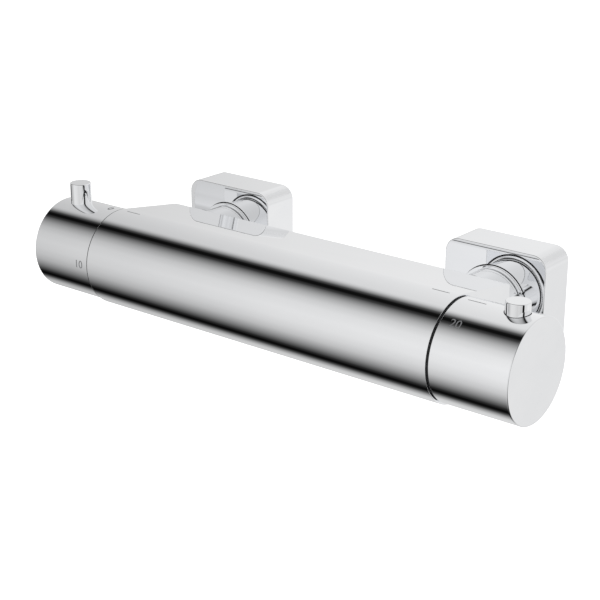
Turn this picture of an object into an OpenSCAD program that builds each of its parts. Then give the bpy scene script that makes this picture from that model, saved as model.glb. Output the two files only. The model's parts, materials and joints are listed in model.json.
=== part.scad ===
// Bar thermostatic shower valve that hangs on two wall inlets, 150 mm apart.
// X runs along the bar, Y points into the wall and Z is up.
// The origin lies on the wall face, midway between the inlets, level with the bar's axis.
// Hot water comes in on the left, cold on the right. The flow handle is on the left end
// and the temperature handle on the right end.

/* [Bar] */
// Length of the body past each inlet
inlet_inset = 18; // [17:0.5:22]
// Length of each handle past the body's end, with its seam
handle_l = 36; // [33:1:45]
// Diameter of the body's round front
body_d = 45; // [44:0.5:50]
// Diameter of both handles
handle_d = 43.5; // [42.5:0.25:44]
// Depth of the body behind the bar's axis
rear_depth = 38; // [37:0.5:39]
// Height of the body's flat rear face
rear_height = 34; // [32:0.5:38]
// Distance from the wall to the bar's axis
axis_to_wall = 74; // [73.5:0.5:80]

/* [Handles] */
// Gap between the flow handle and the body
flow_seam = 0.5; // [0.3:0.1:1]
// Gap between the temperature handle and the body
temperature_seam = 0.8; // [0.3:0.1:1.4]
// Wall of the round handle shells
shell_wall = 2.5; // [2:0.1:2.8]
// Thickness of the shells' closed end
shell_end = 3; // [2:0.25:4]
// Radius of the edge round the closed end
shell_edge_r = 0.6; // [0.3:0.1:1]
// Distance of both pins from the handle's closed end
pin_inset = 10; // [9:0.5:12]
// Diameter of the flow lever pin
lever_d = 10; // [8:0.5:11]
// Height of the flow lever pin above the handle
lever_rise = 9.2; // [6:0.2:14]
// Diameter of the safety button
button_d = 10; // [9:0.5:11]
// Height of the safety button above the handle
button_rise = 4.7; // [4:0.1:8]
// How far the safety button can be pressed
button_travel = 3; // [1.5:0.25:3.5]

/* [Wall inlets] */
// Distance between the two inlets
inlet_spacing = 150; // [148:0.5:152]
// Offset of the wall threads below the valve's inlets
inlet_offset = 6; // [4:0.5:8]
// Diameter of the round inlet bosses on the body
boss_d = 30; // [29:0.5:31]
// Width and height of the square escutcheons
escutcheon_w = 49.5; // [48:0.5:60]
// Depth of the escutcheons
escutcheon_depth = 19; // [18.5:0.25:19.5]
// Corner radius of the escutcheons
escutcheon_r = 6.5; // [4:0.5:9]
// Wall of the escutcheons
escutcheon_wall = 2; // [1.5:0.1:2.5]
// Diameter of the union nuts
nut_d = 32.8; // [32:0.2:34]
// Width of the union nuts across their flats
nut_flats = 30; // [29.5:0.25:31]
// How far the union nuts stand out of the escutcheons
nut_proud = 1.5; // [1:0.1:2]

/* [Threads] */
// Outer diameter of the G3/4 thread inside the union nuts
union_thread_d = 26.34; // [26.2:0.02:26.44]
// Outer diameter of the G1/2 threads in the wall and at the outlet
half_inch_d = 20.9; // [20.8:0.02:20.96]
// Length of the wall threads behind the wall face
wall_thread_l = 18; // [12:1:24]
// Length of the outlet thread below the body
outlet_thread_l = 8; // [7:0.5:12]

/* [Outlet] */
// Distance of the outlet from the body's end at the flow handle
outlet_inset = 27; // [25.5:0.5:28.5]
// Distance of the outlet behind the bar's axis
outlet_back = 24; // [23:0.5:24.5]
// Bore of the outlet
outlet_bore_d = 13; // [10:0.5:14]

/* [Thermostatic cartridge] */
// Diameter of the cartridge chamber in the body
chamber_d = 34; // [33.6:0.1:34.6]
// Distance between the hot and the cold port
port_pitch = 22; // [21:0.5:23]
// Length of the shuttle between its seats
shuttle_l = 15; // [14:0.25:16]
// Opening between the shuttle and each seat at rest
seat_gap = 1; // [0.95:0.05:1.4]
// Diameter of the shuttle
shuttle_d = 24.9; // [24.5:0.1:25.1]
// Diameter of the thermostatic element's wax bulb
element_d = 10; // [9:0.25:10.5]
// Length of the mixing space behind the hot seat
mixing_l = 22.5; // [20:0.5:26]
// Diameter of both spindles
spindle_d = 9.9; // [9.5:0.1:10.1]

/* [Flow cartridge] */
// Diameter of the flow cartridge
flow_cartridge_d = 22; // [21.4:0.2:22.6]
// Depth of the flow cartridge's chamber from the body's end
flow_chamber_depth = 36; // [35:0.5:38]
// Diameter of the ceramic discs
disc_d = 17; // [16:0.25:17.5]
// Thickness of each ceramic disc
disc_t = 2.5; // [2:0.1:2.8]
// Width of the cartridge's hexagon across its flats
flow_hex = 24; // [23:0.5:25]

/* [Motion] */
// Turn of the flow handle from off to full flow
flow_turn = 90; // [80:5:95]
// Turn of the temperature handle from the middle mark to each end
temperature_turn = 40; // [30:2:44]

/* [Hidden] */
$fn = 64;

// Fits and small amounts that many pieces share
overrun = 1;
running = 0.05;
easy = 0.1;
loose = 0.3;
lap = 3;
corner_break = 1;
tangent_dip = 0.05;
hot_side = -1;
cold_side = 1;

// Body outline
body_r = body_d / 2;
handle_r = handle_d / 2;
body_length = inlet_spacing + 2 * inlet_inset;
body_end = body_length / 2;
rear_half = rear_height / 2;

// Inlets, measured out from the wall
boss_r = boss_d / 2;
nut_r = nut_d / 2;
nut_front = escutcheon_depth + nut_proud;
nut_back = 2;
nut_lip = 3.5;
nut_round_l = 9;
boss_front = nut_front + loose;
flange_t = 2.5;
flange_front = nut_front - nut_lip;
washer_t = 2;
washer_front = flange_front - flange_t;
seal_face = washer_front - washer_t;
union_thread_r = union_thread_d / 2;
flange_play = 0.6;
flange_r = union_thread_r - flange_play;
nipple_r = 10.4;
nipple_l = 17;
nipple_bore_r = 8;
nipple_in = flange_front + nipple_l;
boss_bore_in = nipple_in + loose;
waterway_r = 7.5;
half_inch_r = half_inch_d / 2;
collar_t = 1.6;
collar_flats = 26;
wall_bore_r = 6.6;
washer_r_in = 8.6;
filter_r = 8.4;
filter_t = 0.8;
mesh_hole_r = 0.7;
mesh_pitch = 2.4;

// Check valve, measured out from the wall
check_from = flange_front;
check_l = 14;
check_seat_t = 2.5;
check_cage_wall = 1;
check_spider_t = 1.5;
check_head_r = 6;
check_head_t = 1.8;
check_stem_r = 1.5;
check_lift = 3;
check_seat_w = check_from + check_seat_t;
check_out = check_from + check_l;
check_guide_w = check_out - check_spider_t;
check_cage_r = nipple_bore_r - easy;
check_bore_r = check_cage_r - check_cage_wall;
check_seat_r = 5;
check_spring_r = 3.2;
check_wire_r = 0.35;

// Escutcheon
escutcheon_hole_r = nut_r + loose;
grip_t = 2.4;
grip_depth = 1.2;
grip_wall = 1.6;
grip_from = escutcheon_depth - escutcheon_wall - 2 * grip_t;
collar_back = grip_from - grip_wall;

// Waterways in the body, measured from the bar's axis
gallery_back = 26;
gallery_up = 8;
gallery_r = 5;
hot_bore_back = 20;
centre_bore_r = 8;
outlet_boss_r = 12.4;
outlet_boss_down = 21.5;
outlet_x = body_end - outlet_inset;
outlet_shoulder = 0.95;
outlet_socket_r = half_inch_r - outlet_shoulder;
outlet_socket_l = 8.3;
outlet_top_down = 10;
outlet_bore_r = outlet_bore_d / 2;
outlet_port_r = 4;
outlet_port_from = [outlet_back, -13];
outlet_port_to = [7, -7];
outlet_groove_in = 2;
outlet_groove_down = outlet_boss_down - outlet_socket_l + outlet_groove_in;
small_ring = 1.6;

// Thermostatic end, measured out from the body's right end
cold_w = -inlet_inset;
hot_w = cold_w - port_pitch;
shuttle_w = (cold_w + hot_w) / 2;
hot_seat_w = shuttle_w - shuttle_l / 2 - seat_gap;
cold_seat_w = shuttle_w + shuttle_l / 2 + seat_gap;
window_l = 3.5;
window_count = 4;
window_width = 12;
sleeve_in = hot_seat_w - mixing_l;
sleeve_end_t = 2.5;
head_spigot_l = 8.5;
sleeve_out = cold_seat_w + head_spigot_l;
chamber_r = chamber_d / 2;
chamber_in = sleeve_in - loose;
sleeve_r = chamber_r - easy;
groove_depth = 2.3;
shuttle_r = shuttle_d / 2;
sleeve_bore_r = shuttle_r + running;
seat_width = 2.85;
seat_bore_r = shuttle_r - seat_width;
mix_hole_r = 7;
head_flange_t = 5;
head_flange_out = sleeve_out + head_flange_t;
head_neck_r = 11;
head_out = 7.5;
head_end_t = 4;
head_cavity_out = head_out - head_end_t;
nut_recess = 1;
cup_r = seat_bore_r - easy;
cup_key_w = 3;
cup_key_h = 0.9;
cup_depth = 18.3;
cup_in = head_cavity_out - cup_depth;
cup_lip_t = 1;
cup_bore_r = 7.2;
overload_seat_t = 1.2;
overload_seat_w = cup_in + cup_lip_t;
cup_nut_l = 5.2;
spindle_r = spindle_d / 2;
spindle_flange_r = 7;
spindle_flange_t = 1.2;
cup_play = 1.1;
cup_out = head_cavity_out - spindle_flange_t - cup_play;
cup_nut_in = cup_out - cup_nut_l;
drive_r = 3.9;
piston_r = 2;
piston_reach = 10.2;
piston_in = cup_in - piston_reach;
piston_play = 2;
guide_r = 4.2;
element_flange_r = 7;
web_t = 2.5;
web_inset = 1;
web_in = shuttle_w - shuttle_l / 2 + web_inset;
web_out = web_in + web_t;
element_flange_t = 2.5;
element_r = element_d / 2;
bulb_gap = 3.5;
bulb_in = sleeve_in + sleeve_end_t + bulb_gap;
shuttle_wall = 2.2;
web_hole_r = 1.6;
web_hole_place = 8.4;
web_hole_count = 6;
return_spring_r = 7.3;
return_wire_r = 0.7;
overload_spring_r = 5.4;
overload_wire_r = 0.8;
cartridge_ring = 2.2;
spindle_ring = 1.8;
spindle_ring_w = 5.5;

// Handle insides, measured out from the body's end
shell_r_in = handle_r - shell_wall;
insert_in = 8.5;
insert_r = shell_r_in - running;
insert_rim = 1.8;
insert_web_t = 2;
hub_r = 8;
hub_gap = 2.2;
hub_cover = 7;
insert_out = handle_l - shell_end - loose;
hub_l = insert_out - insert_in - hub_gap;
spline_l = hub_l - hub_cover;
rib_t = 4;
spline_count = 16;
spline_depth = 0.5;
spline_share = 0.5;
spindle_out = insert_in + spline_l;
stop_r = 18.5;
stop_t = 3;
stop_tooth_t = 2.5;
stop_tooth_r = [12, 16];
stop_tooth_span = 10;
stop_play = 2;
seam_inset = 0.6;
seam_play = 0.2;
lug_half = 10;
lug_from = stop_t + loose;
latch_r = [16.9, 18.5];
latch_from = 10;
latch_span = 20;
pin_w = handle_l - pin_inset;
grub_r = 2;
grub_inset = 6.5;
grub_w = insert_in + grub_inset;
grub_key_r = 1.15;
grub_key_l = 2.5;
grub_sink = 1;
grub_out = handle_r - grub_sink;

// Flow lever pin
lever_r = lever_d / 2;
lever_top = handle_r + lever_rise;
lever_sink = 1.6;
lever_seat = shell_r_in - lever_sink;
lever_stud_r = 2.5;
lever_stud_gap = 1;
lever_stud_in = hub_r + lever_stud_gap;
lever_boss_r = 5;
pin_edge = 0.4;

// Safety button
button_r = button_d / 2;
button_top = handle_r + button_rise;
button_flange_w = 1.3;
button_flange_r = button_r + button_flange_w;
button_flange_t = 1.5;
button_flange_play = 0.35;
button_flange_top = sqrt(shell_r_in * shell_r_in - button_flange_r * button_flange_r) - button_flange_play;
button_flange_low = button_flange_top - button_flange_t;
button_stem_r = 2.4;
button_stem_l = 4.2;
button_stem_low = button_flange_low - button_stem_l;
arm_w = 4;
arm_t = 2;
arm_tip = stop_t + loose;
button_spring_r = 3.5;
button_wire_r = 0.4;

// Flow end, measured out from the body's left end
flow_chamber_r = flow_cartridge_d / 2 + easy;
flow_r = flow_cartridge_d / 2;
flow_in = -flow_chamber_depth;
flow_seal_t = 2.5;
flow_fixed_w = flow_in + flow_seal_t;
flow_moving_w = flow_fixed_w + disc_t;
flow_carrier_w = flow_moving_w + disc_t;
disc_r = disc_d / 2;
disc_cavity_r = disc_r + easy;
driver_l = 7;
disc_cavity_out = flow_carrier_w + driver_l;
disc_hole_r = [2.4, 6.6];
disc_hole_span = 78;
disc_slot_w = 3.6;
disc_slot_t = 0.9;
tongue_l = 13;
flow_window_l = 5;
flow_window_w = 8;
flow_flange_r = 6.4;
flow_flange_t = 1.8;
pocket_r = 15;
pocket_depth = 9;
flow_hex_t = 5;
flow_neck_r = 8;
flow_neck_out = 7.5;
flow_ring = 1.6;
flow_ring_inset = 2.2;
flow_ring_w = disc_cavity_out + flow_ring_inset;
flow_ring_pitch = 5;
flow_spindle_ring_w = flow_ring_w + flow_ring_pitch;
flow_spindle_step = 1;
flow_spindle_r = spindle_r - flow_spindle_step;

// Coils
coil_sides = 6;
coil_steps = 14;

module on_axis() {
    translate([0, -axis_to_wall, 0]) children();
}

// The local Z axis points out of the body's right end and the local X axis points up
module right_end() {
    on_axis() translate([body_end, 0, 0]) rotate([0, 90, 0]) rotate([0, 0, 180]) children();
}

// The local Z axis points out of the body's left end and the local X axis points up
module left_end() {
    on_axis() translate([-body_end, 0, 0]) rotate([0, -90, 0]) children();
}

// The local Z axis points out of the wall at one inlet
module inlet(side) {
    translate([side * inlet_spacing / 2, 0, 0]) rotate([90, 0, 0]) children();
}

// The local Z axis points away from the bar's axis, at a distance along it and a turn from the top
module radial(along, turn = 0) {
    rotate([0, 0, turn]) translate([0, 0, along]) rotate([0, 90, 0]) children();
}

module rod(r, from, to) {
    translate([0, 0, from]) cylinder(r = r, h = to - from);
}

module tube(r_out, r_in, from, to) {
    difference() {
        rod(r_out, from, to);
        rod(r_in, from - overrun, to + overrun);
    }
}

module hex_rod(flats, from, to) {
    translate([0, 0, from]) cylinder(d = flats / cos(30), h = to - from, $fn = 6);
}

// A ring sector between two radii, centred on a turn from the top
module sector(radii, span, turn, from, to) {
    rotate([0, 0, turn - span / 2]) translate([0, 0, from])
        rotate_extrude(angle = span) translate([radii[0], 0]) square([radii[1] - radii[0], to - from]);
}

module o_ring(r_in, section, at) {
    translate([0, 0, at]) rotate_extrude() translate([r_in + section / 2, 0]) circle(d = section, $fn = 24);
}

module splines(r, from, to) {
    for (i = [0 : spline_count - 1])
        rotate([0, 0, i * 360 / spline_count])
            translate([r, -r * sin(180 / spline_count) * spline_share, from])
                cube([spline_depth, 2 * r * sin(180 / spline_count) * spline_share, to - from]);
}

// A round wire wound on a mean radius, as one tube with flat cut ends
module coil_spring(mean_r, wire_r, from, to, turns) {
    steps = turns * coil_steps;
    rise = to - from - 2 * wire_r;
    points = [
        for (i = [0 : steps], k = [0 : coil_sides - 1])
            let (a = 360 * i / coil_steps, b = 360 * k / coil_sides, r = mean_r + wire_r * cos(b))
                [r * cos(a), r * sin(a), from + wire_r + rise * i / steps + wire_r * sin(b)]
    ];
    sides = [
        for (i = [0 : steps - 1], k = [0 : coil_sides - 1])
            let (a = i * coil_sides + k, b = i * coil_sides + (k + 1) % coil_sides)
                each [[a, a + coil_sides, b], [b, a + coil_sides, b + coil_sides]]
    ];
    first_cap = [for (k = [0 : coil_sides - 1]) k];
    last_cap = [for (k = [coil_sides - 1 : -1 : 0]) steps * coil_sides + k];
    polyhedron(points = points, faces = concat(sides, [first_cap, last_cap]), convexity = 10);
}

// The round front with the top and the underside running back to the flat rear face
module body_profile() {
    reach = [rear_depth, rear_half];
    lean = atan2(reach[1], reach[0]) + acos(body_r / norm(reach));
    start = (body_r - tangent_dip) * [cos(lean), sin(lean)];
    upper = [
        start,
        reach - corner_break * [1, 0],
        reach - corner_break * [0, 1]
    ];
    lower = [for (i = [len(upper) - 1 : -1 : 0]) [upper[i][0], -upper[i][1]]];
    circle(r = body_r, $fn = 128);
    polygon(concat(upper, lower));
}

module body_solid() {
    on_axis() {
        translate([-body_end, 0, 0]) rotate([90, 0, 90])
            linear_extrude(height = body_length) body_profile();
        translate([-outlet_x, outlet_back, -outlet_boss_down])
            cylinder(r = outlet_boss_r, h = outlet_boss_down - outlet_top_down);
    }
    for (side = [hot_side, cold_side])
        inlet(side) rod(boss_r, boss_front, axis_to_wall - rear_depth + lap);
}

module inlet_bores() {
    for (side = [hot_side, cold_side])
        inlet(side) rod(nipple_r + running, boss_front - overrun, boss_bore_in);
    inlet(hot_side) rod(waterway_r, boss_bore_in - overrun, axis_to_wall - hot_bore_back);
    inlet(cold_side) rod(waterway_r, boss_bore_in - overrun, axis_to_wall - chamber_r + lap);
}

// The hot gallery runs behind the chambers from the left inlet to the hot port
module hot_gallery() {
    hot_x = body_end + hot_w;
    on_axis() {
        translate([-inlet_spacing / 2, gallery_back, gallery_up]) rotate([0, 90, 0])
            cylinder(r = gallery_r, h = inlet_spacing / 2 + hot_x + gallery_r);
        translate([hot_x, chamber_r - lap, gallery_up]) rotate([-90, 0, 0])
            cylinder(r = gallery_r, h = gallery_back - chamber_r + lap);
    }
}

module outlet_bores() {
    run = outlet_port_from - outlet_port_to;
    on_axis() translate([-outlet_x, 0, 0]) {
        translate([0, outlet_back, -outlet_boss_down - overrun])
            cylinder(r = outlet_socket_r + running, h = outlet_socket_l + overrun);
        translate([0, outlet_back, -outlet_boss_down]) cylinder(r = outlet_bore_r, h = outlet_boss_down - outlet_top_down);
        translate([0, outlet_port_to[0], outlet_port_to[1]]) rotate([-atan2(run[0], run[1]), 0, 0])
            cylinder(r = outlet_port_r, h = norm(run));
    }
}

module body() color("gainsboro") difference() {
    body_solid();
    inlet_bores();
    hot_gallery();
    outlet_bores();
    right_end() rod(chamber_r, chamber_in, overrun);
    left_end() {
        rod(flow_chamber_r, flow_in, overrun);
        rod(pocket_r, -pocket_depth, overrun);
        rod(centre_bore_r, flow_in - (body_length + chamber_in + flow_in) - overrun, flow_in + overrun);
    }
}

module outlet_nipple() color("gainsboro") on_axis() translate([-outlet_x, outlet_back, 0]) difference() {
    union() {
        rod(half_inch_r, -outlet_boss_down - outlet_thread_l, -outlet_boss_down);
        rod(outlet_socket_r, -outlet_boss_down - lap, -outlet_boss_down + outlet_socket_l - loose);
    }
    rod(outlet_bore_r, -outlet_boss_down - outlet_thread_l - overrun, -outlet_top_down);
    tube(outlet_socket_r + overrun, outlet_socket_r - small_ring, -outlet_groove_down - small_ring / 2,
        -outlet_groove_down + small_ring / 2);
}

module outlet_o_ring() color("dimgray") on_axis() translate([-outlet_x, outlet_back, 0])
    o_ring(outlet_socket_r - small_ring, small_ring, -outlet_groove_down);

// A round shell, open towards the body, with a closed and softly edged end
module handle_shell(seam) {
    edge = [for (a = [0 : 30 : 90]) shell_edge_r * [cos(a), sin(a)]];
    rotate_extrude($fn = 128) polygon(concat(
        [[0, handle_l - shell_end], [shell_r_in, handle_l - shell_end], [shell_r_in, seam], [handle_r, seam]],
        [for (p = edge) [handle_r - shell_edge_r, handle_l - shell_edge_r] + p],
        [[0, handle_l]]
    ));
}

// The plastic insert that joins a shell to its splined spindle
module handle_insert() {
    difference() {
        union() {
            tube(insert_r, insert_r - insert_rim, insert_in, insert_out);
            tube(insert_r - insert_rim + running, hub_r - running, insert_in + hub_l - insert_web_t, insert_in + hub_l);
            rod(hub_r, insert_in, insert_in + hub_l);
            rotate([0, 0, 180]) translate([hub_r - overrun, -rib_t, insert_in])
                cube([insert_r - insert_rim - hub_r + overrun + running, 2 * rib_t, hub_l - running]);
            sector(stop_tooth_r, 2 * lug_half, 180, lug_from, insert_in + running);
        }
        rod(spindle_r + easy, insert_in - overrun, spindle_out + loose);
        splines(spindle_r + easy - running, insert_in - overrun, spindle_out + loose);
        radial(grub_w, 180) rod(grub_r + running, 0, insert_r + overrun);
    }
}

module grub_screw() {
    radial(grub_w, 180) difference() {
        rod(grub_r, spindle_r + easy, grub_out);
        hex_rod(2 * grub_key_r, grub_out - grub_key_l, grub_out + overrun);
    }
}

// A black ring on the body's end that fills the seam and limits the handle's turn
module stop_ring(r_in, seam, low_turn, high_turn) {
    tube(stop_r, r_in, 0, stop_t);
    tube(handle_r - seam_inset, r_in, 0, seam - seam_play);
    for (turn = [180 + low_turn - lug_half - stop_play - stop_tooth_span / 2,
                 180 + high_turn + lug_half + stop_play + stop_tooth_span / 2])
        sector(stop_tooth_r, stop_tooth_span, turn, stop_t - running, stop_t + stop_tooth_t);
}

module flow_handle() color("gainsboro") left_end() difference() {
    handle_shell(flow_seam);
    radial(pin_w) rod(lever_r + running, shell_r_in - lap, handle_r + overrun);
    radial(grub_w, 180) rod(grub_r + running, shell_r_in - lap, handle_r + overrun);
}

module flow_lever_pin() color("gainsboro") left_end() radial(pin_w) {
    rod(lever_r, lever_seat, lever_top - pin_edge);
    translate([0, 0, lever_top - pin_edge]) cylinder(r1 = lever_r, r2 = lever_r - pin_edge, h = pin_edge);
    rod(lever_stud_r, lever_stud_in, lever_seat + running);
}

module flow_handle_insert() color("silver") left_end() difference() {
    union() {
        handle_insert();
        radial(pin_w) rod(lever_boss_r, hub_r - overrun, lever_seat);
    }
    radial(pin_w) {
        rod(lever_stud_r + running, lever_stud_in - running, lever_seat + overrun);
        rod(lever_r + easy, lever_seat - easy, handle_r);
    }
}

module flow_grub_screw() color("dimgray") left_end() grub_screw();

module flow_spindle() color("goldenrod") left_end() {
    intersection() {
        rod(disc_r - loose, flow_moving_w, disc_cavity_out - flow_flange_t);
        translate([-tongue_l / 2, -disc_slot_w / 2 + easy, flow_carrier_w - disc_slot_t + easy])
            cube([tongue_l, disc_slot_w - 2 * easy, disc_cavity_out - flow_carrier_w]);
    }
    rod(flow_flange_r, disc_cavity_out - flow_flange_t, disc_cavity_out - easy);
    difference() {
        rod(flow_spindle_r, disc_cavity_out - flow_flange_t - running, insert_in);
        tube(spindle_r, flow_spindle_r - spindle_ring / 2, flow_spindle_ring_w - spindle_ring / 2,
            flow_spindle_ring_w + spindle_ring / 2);
    }
    rod(spindle_r - spline_depth, insert_in - running, spindle_out);
    splines(spindle_r - spline_depth - easy, insert_in, spindle_out);
}

// Two openings on opposite sides, centred on a turn from the top
module disc_openings(turn, from, to) {
    for (side = [0, 180])
        sector(disc_hole_r, disc_hole_span, turn + side, from - overrun, to + overrun);
}

module flow_moving_disc() color("whitesmoke") left_end() difference() {
    rod(disc_r, flow_moving_w, flow_carrier_w);
    disc_openings(90, flow_moving_w, flow_carrier_w);
    translate([-tongue_l / 2 - easy, -disc_slot_w / 2, flow_carrier_w - disc_slot_t])
        cube([tongue_l + 2 * easy, disc_slot_w, disc_slot_t + overrun]);
}

module flow_fixed_disc() color("whitesmoke") left_end() difference() {
    rod(disc_r, flow_fixed_w, flow_moving_w);
    disc_openings(0, flow_fixed_w, flow_moving_w);
}

module flow_seat_seal() color("dimgray") left_end()
    tube(disc_r, disc_hole_r[1] + easy, flow_in, flow_fixed_w);

module flow_cartridge_housing() color("goldenrod") left_end() difference() {
    union() {
        rod(flow_r, flow_in + easy, -pocket_depth + running);
        hex_rod(flow_hex, -pocket_depth, -pocket_depth + flow_hex_t);
        rod(flow_neck_r, -pocket_depth + flow_hex_t - running, flow_neck_out);
    }
    rod(disc_cavity_r, flow_in - overrun, disc_cavity_out);
    rod(flow_spindle_r + running, disc_cavity_out - overrun, flow_neck_out + overrun);
    for (turn = [0, 90])
        rotate([0, 0, turn]) translate([-flow_r - overrun, -flow_window_w / 2, flow_carrier_w + easy])
            cube([2 * (flow_r + overrun), flow_window_w, flow_window_l]);
    tube(flow_r + overrun, flow_r - flow_ring, flow_ring_w - flow_ring / 2, flow_ring_w + flow_ring / 2);
}

module flow_cartridge_o_ring() color("dimgray") left_end() o_ring(flow_r - flow_ring, flow_ring, flow_ring_w);

module flow_spindle_o_ring() color("dimgray") left_end()
    o_ring(flow_spindle_r - spindle_ring / 2, spindle_ring / 2, flow_spindle_ring_w);

module flow_stop_ring() color("dimgray") left_end() stop_ring(flow_neck_r + easy, flow_seam, 0, flow_turn);

module temperature_handle() color("gainsboro") right_end() difference() {
    handle_shell(temperature_seam);
    radial(pin_w) rod(button_r + easy, shell_r_in - lap, handle_r + overrun);
    radial(grub_w, 180) rod(grub_r + running, shell_r_in - lap, handle_r + overrun);
}

// The button's arm reaches back to the latch on the stop ring
module safety_button() color("gainsboro") right_end() radial(pin_w) {
    rod(button_r, button_flange_top - running, button_top - pin_edge);
    translate([0, 0, button_top - pin_edge]) cylinder(r1 = button_r, r2 = button_r - pin_edge, h = pin_edge);
    rod(button_flange_r, button_flange_low, button_flange_top);
    rod(button_stem_r, button_stem_low, button_flange_low + running);
    translate([0, -arm_w / 2, button_flange_low - arm_t + running])
        difference() {
            cube([pin_w - arm_tip, arm_w, arm_t]);
            translate([-overrun, -overrun, -overrun]) cube([button_flange_r + overrun, arm_w + 2 * overrun, arm_t + overrun]);
        }
    translate([button_flange_r - arm_w, -arm_w / 2, button_flange_low]) cube([2 * arm_w, arm_w, button_flange_t]);
}

module safety_button_spring() color("silver") right_end() radial(pin_w)
    coil_spring(button_spring_r, button_wire_r, hub_r + easy, button_flange_low - easy, 4);

module temperature_handle_insert() color("silver") right_end() difference() {
    handle_insert();
    // Room for the button's arm and flange in the web and the rim
    translate([hub_r + loose, -arm_w / 2 - easy, insert_in - overrun])
        cube([shell_r_in - hub_r, arm_w + 2 * easy, insert_out]);
    radial(pin_w) rod(button_flange_r + loose, hub_r + loose, handle_r);
}

module temperature_grub_screw() color("dimgray") right_end() grub_screw();

module temperature_spindle() color("goldenrod") right_end() {
    rod(drive_r, cup_nut_in, head_cavity_out - spindle_flange_t + running);
    rod(spindle_flange_r, head_cavity_out - spindle_flange_t, head_cavity_out - running);
    difference() {
        rod(spindle_r - running, head_cavity_out - 2 * running, insert_in);
        tube(spindle_r + overrun, spindle_r - spindle_ring / 2, spindle_ring_w - spindle_ring / 2,
            spindle_ring_w + spindle_ring / 2);
    }
    rod(spindle_r - spline_depth, insert_in - running, spindle_out);
    splines(spindle_r - spline_depth - easy, insert_in, spindle_out);
}

module temperature_spindle_o_ring() color("dimgray") right_end()
    o_ring(spindle_r - spindle_ring / 2, spindle_ring / 2, spindle_ring_w);

module temperature_stop_ring() color("dimgray") right_end() {
    stop_ring(head_neck_r + easy, temperature_seam, -temperature_turn, temperature_turn);
    sector(latch_r, latch_span, latch_from + latch_span / 2, stop_t - running, stop_t + stop_tooth_t);
}

module cartridge_retaining_nut() color("goldenrod") right_end() difference() {
    tube(chamber_r - running, head_neck_r + loose, head_flange_out, -nut_recess);
    for (turn = [0, 90])
        rotate([0, 0, turn]) translate([-chamber_r - overrun, -rib_t / 2, -nut_recess - rib_t / 2])
            cube([2 * (chamber_r + overrun), rib_t, rib_t]);
}

module cartridge_head() color("goldenrod") right_end() difference() {
    union() {
        rod(sleeve_bore_r - easy, cold_seat_w, sleeve_out + running);
        rod(sleeve_r, sleeve_out, head_flange_out);
        rod(head_neck_r, head_flange_out - running, head_out);
    }
    rod(seat_bore_r, cold_seat_w - overrun, head_cavity_out);
    rod(spindle_r, head_cavity_out - overrun, head_out + overrun);
    for (turn = [0, 180])
        rotate([0, 0, turn]) translate([0, -cup_key_w / 2 - easy, cold_seat_w + lap])
            cube([seat_bore_r + cup_key_h + easy, cup_key_w + 2 * easy, head_cavity_out - cold_seat_w - lap]);
    tube(sleeve_r + overrun, sleeve_r - cartridge_ring, sleeve_out + head_flange_t / 2 - cartridge_ring / 2,
        sleeve_out + head_flange_t / 2 + cartridge_ring / 2);
}

// Radial windows that let one supply reach the end of the shuttle
module sleeve_windows(from, to) {
    for (i = [0 : window_count - 1])
        rotate([0, 0, i * 360 / window_count])
            translate([0, -window_width / 2, from]) cube([sleeve_r + overrun, window_width, to - from]);
}

module cartridge_sleeve() color("goldenrod") right_end() difference() {
    rod(sleeve_r, sleeve_in, sleeve_out);
    rod(mix_hole_r, sleeve_in - overrun, sleeve_in + sleeve_end_t + overrun);
    rod(seat_bore_r, sleeve_in + sleeve_end_t, hot_seat_w + overrun);
    rod(sleeve_bore_r, hot_seat_w, sleeve_out + overrun);
    tube(sleeve_r + overrun, sleeve_r - groove_depth, hot_w - gallery_r, hot_seat_w + window_l);
    tube(sleeve_r + overrun, sleeve_r - groove_depth, cold_seat_w - window_l, cold_w + waterway_r / 2);
    difference() {
        union() {
            sleeve_windows(hot_seat_w, hot_seat_w + window_l);
            sleeve_windows(cold_seat_w - window_l, cold_seat_w);
        }
        rod(shuttle_r, sleeve_in, sleeve_out);
    }
    for (at = cartridge_ring_places)
        tube(sleeve_r + overrun, sleeve_r - cartridge_ring, at - cartridge_ring / 2, at + cartridge_ring / 2);
}

cartridge_ring_places = [hot_w - gallery_r - 2 * cartridge_ring, shuttle_w];

module cartridge_o_rings() color("dimgray") right_end()
    for (at = concat(cartridge_ring_places, [sleeve_out + head_flange_t / 2]))
        o_ring(sleeve_r - cartridge_ring, cartridge_ring, at);

module shuttle() color("whitesmoke") right_end() difference() {
    union() {
        tube(shuttle_r, shuttle_r - shuttle_wall, shuttle_w - shuttle_l / 2, shuttle_w + shuttle_l / 2);
        rod(shuttle_r - shuttle_wall + running, web_in, web_out);
    }
    rod(element_r + easy, web_in - overrun, web_out + overrun);
    for (i = [0 : web_hole_count - 1])
        rotate([0, 0, i * 360 / web_hole_count]) translate([web_hole_place, 0, 0])
            rod(web_hole_r, web_in - overrun, web_out + overrun);
    tube(shuttle_r + overrun, shuttle_r - small_ring, shuttle_w - small_ring / 2, shuttle_w + small_ring / 2);
}

module shuttle_o_ring() color("dimgray") right_end() o_ring(shuttle_r - small_ring, small_ring, shuttle_w);

module thermostatic_element() color("peru") right_end() {
    rod(element_r, bulb_in, web_out + running);
    rod(element_flange_r, web_out, web_out + element_flange_t);
    rod(guide_r, web_out + element_flange_t - running, piston_in + running);
    rod(piston_r, piston_in, overload_seat_w);
}

module element_return_spring() color("silver") right_end()
    coil_spring(return_spring_r, return_wire_r, sleeve_in + sleeve_end_t + running, web_in - running, 6);

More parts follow.
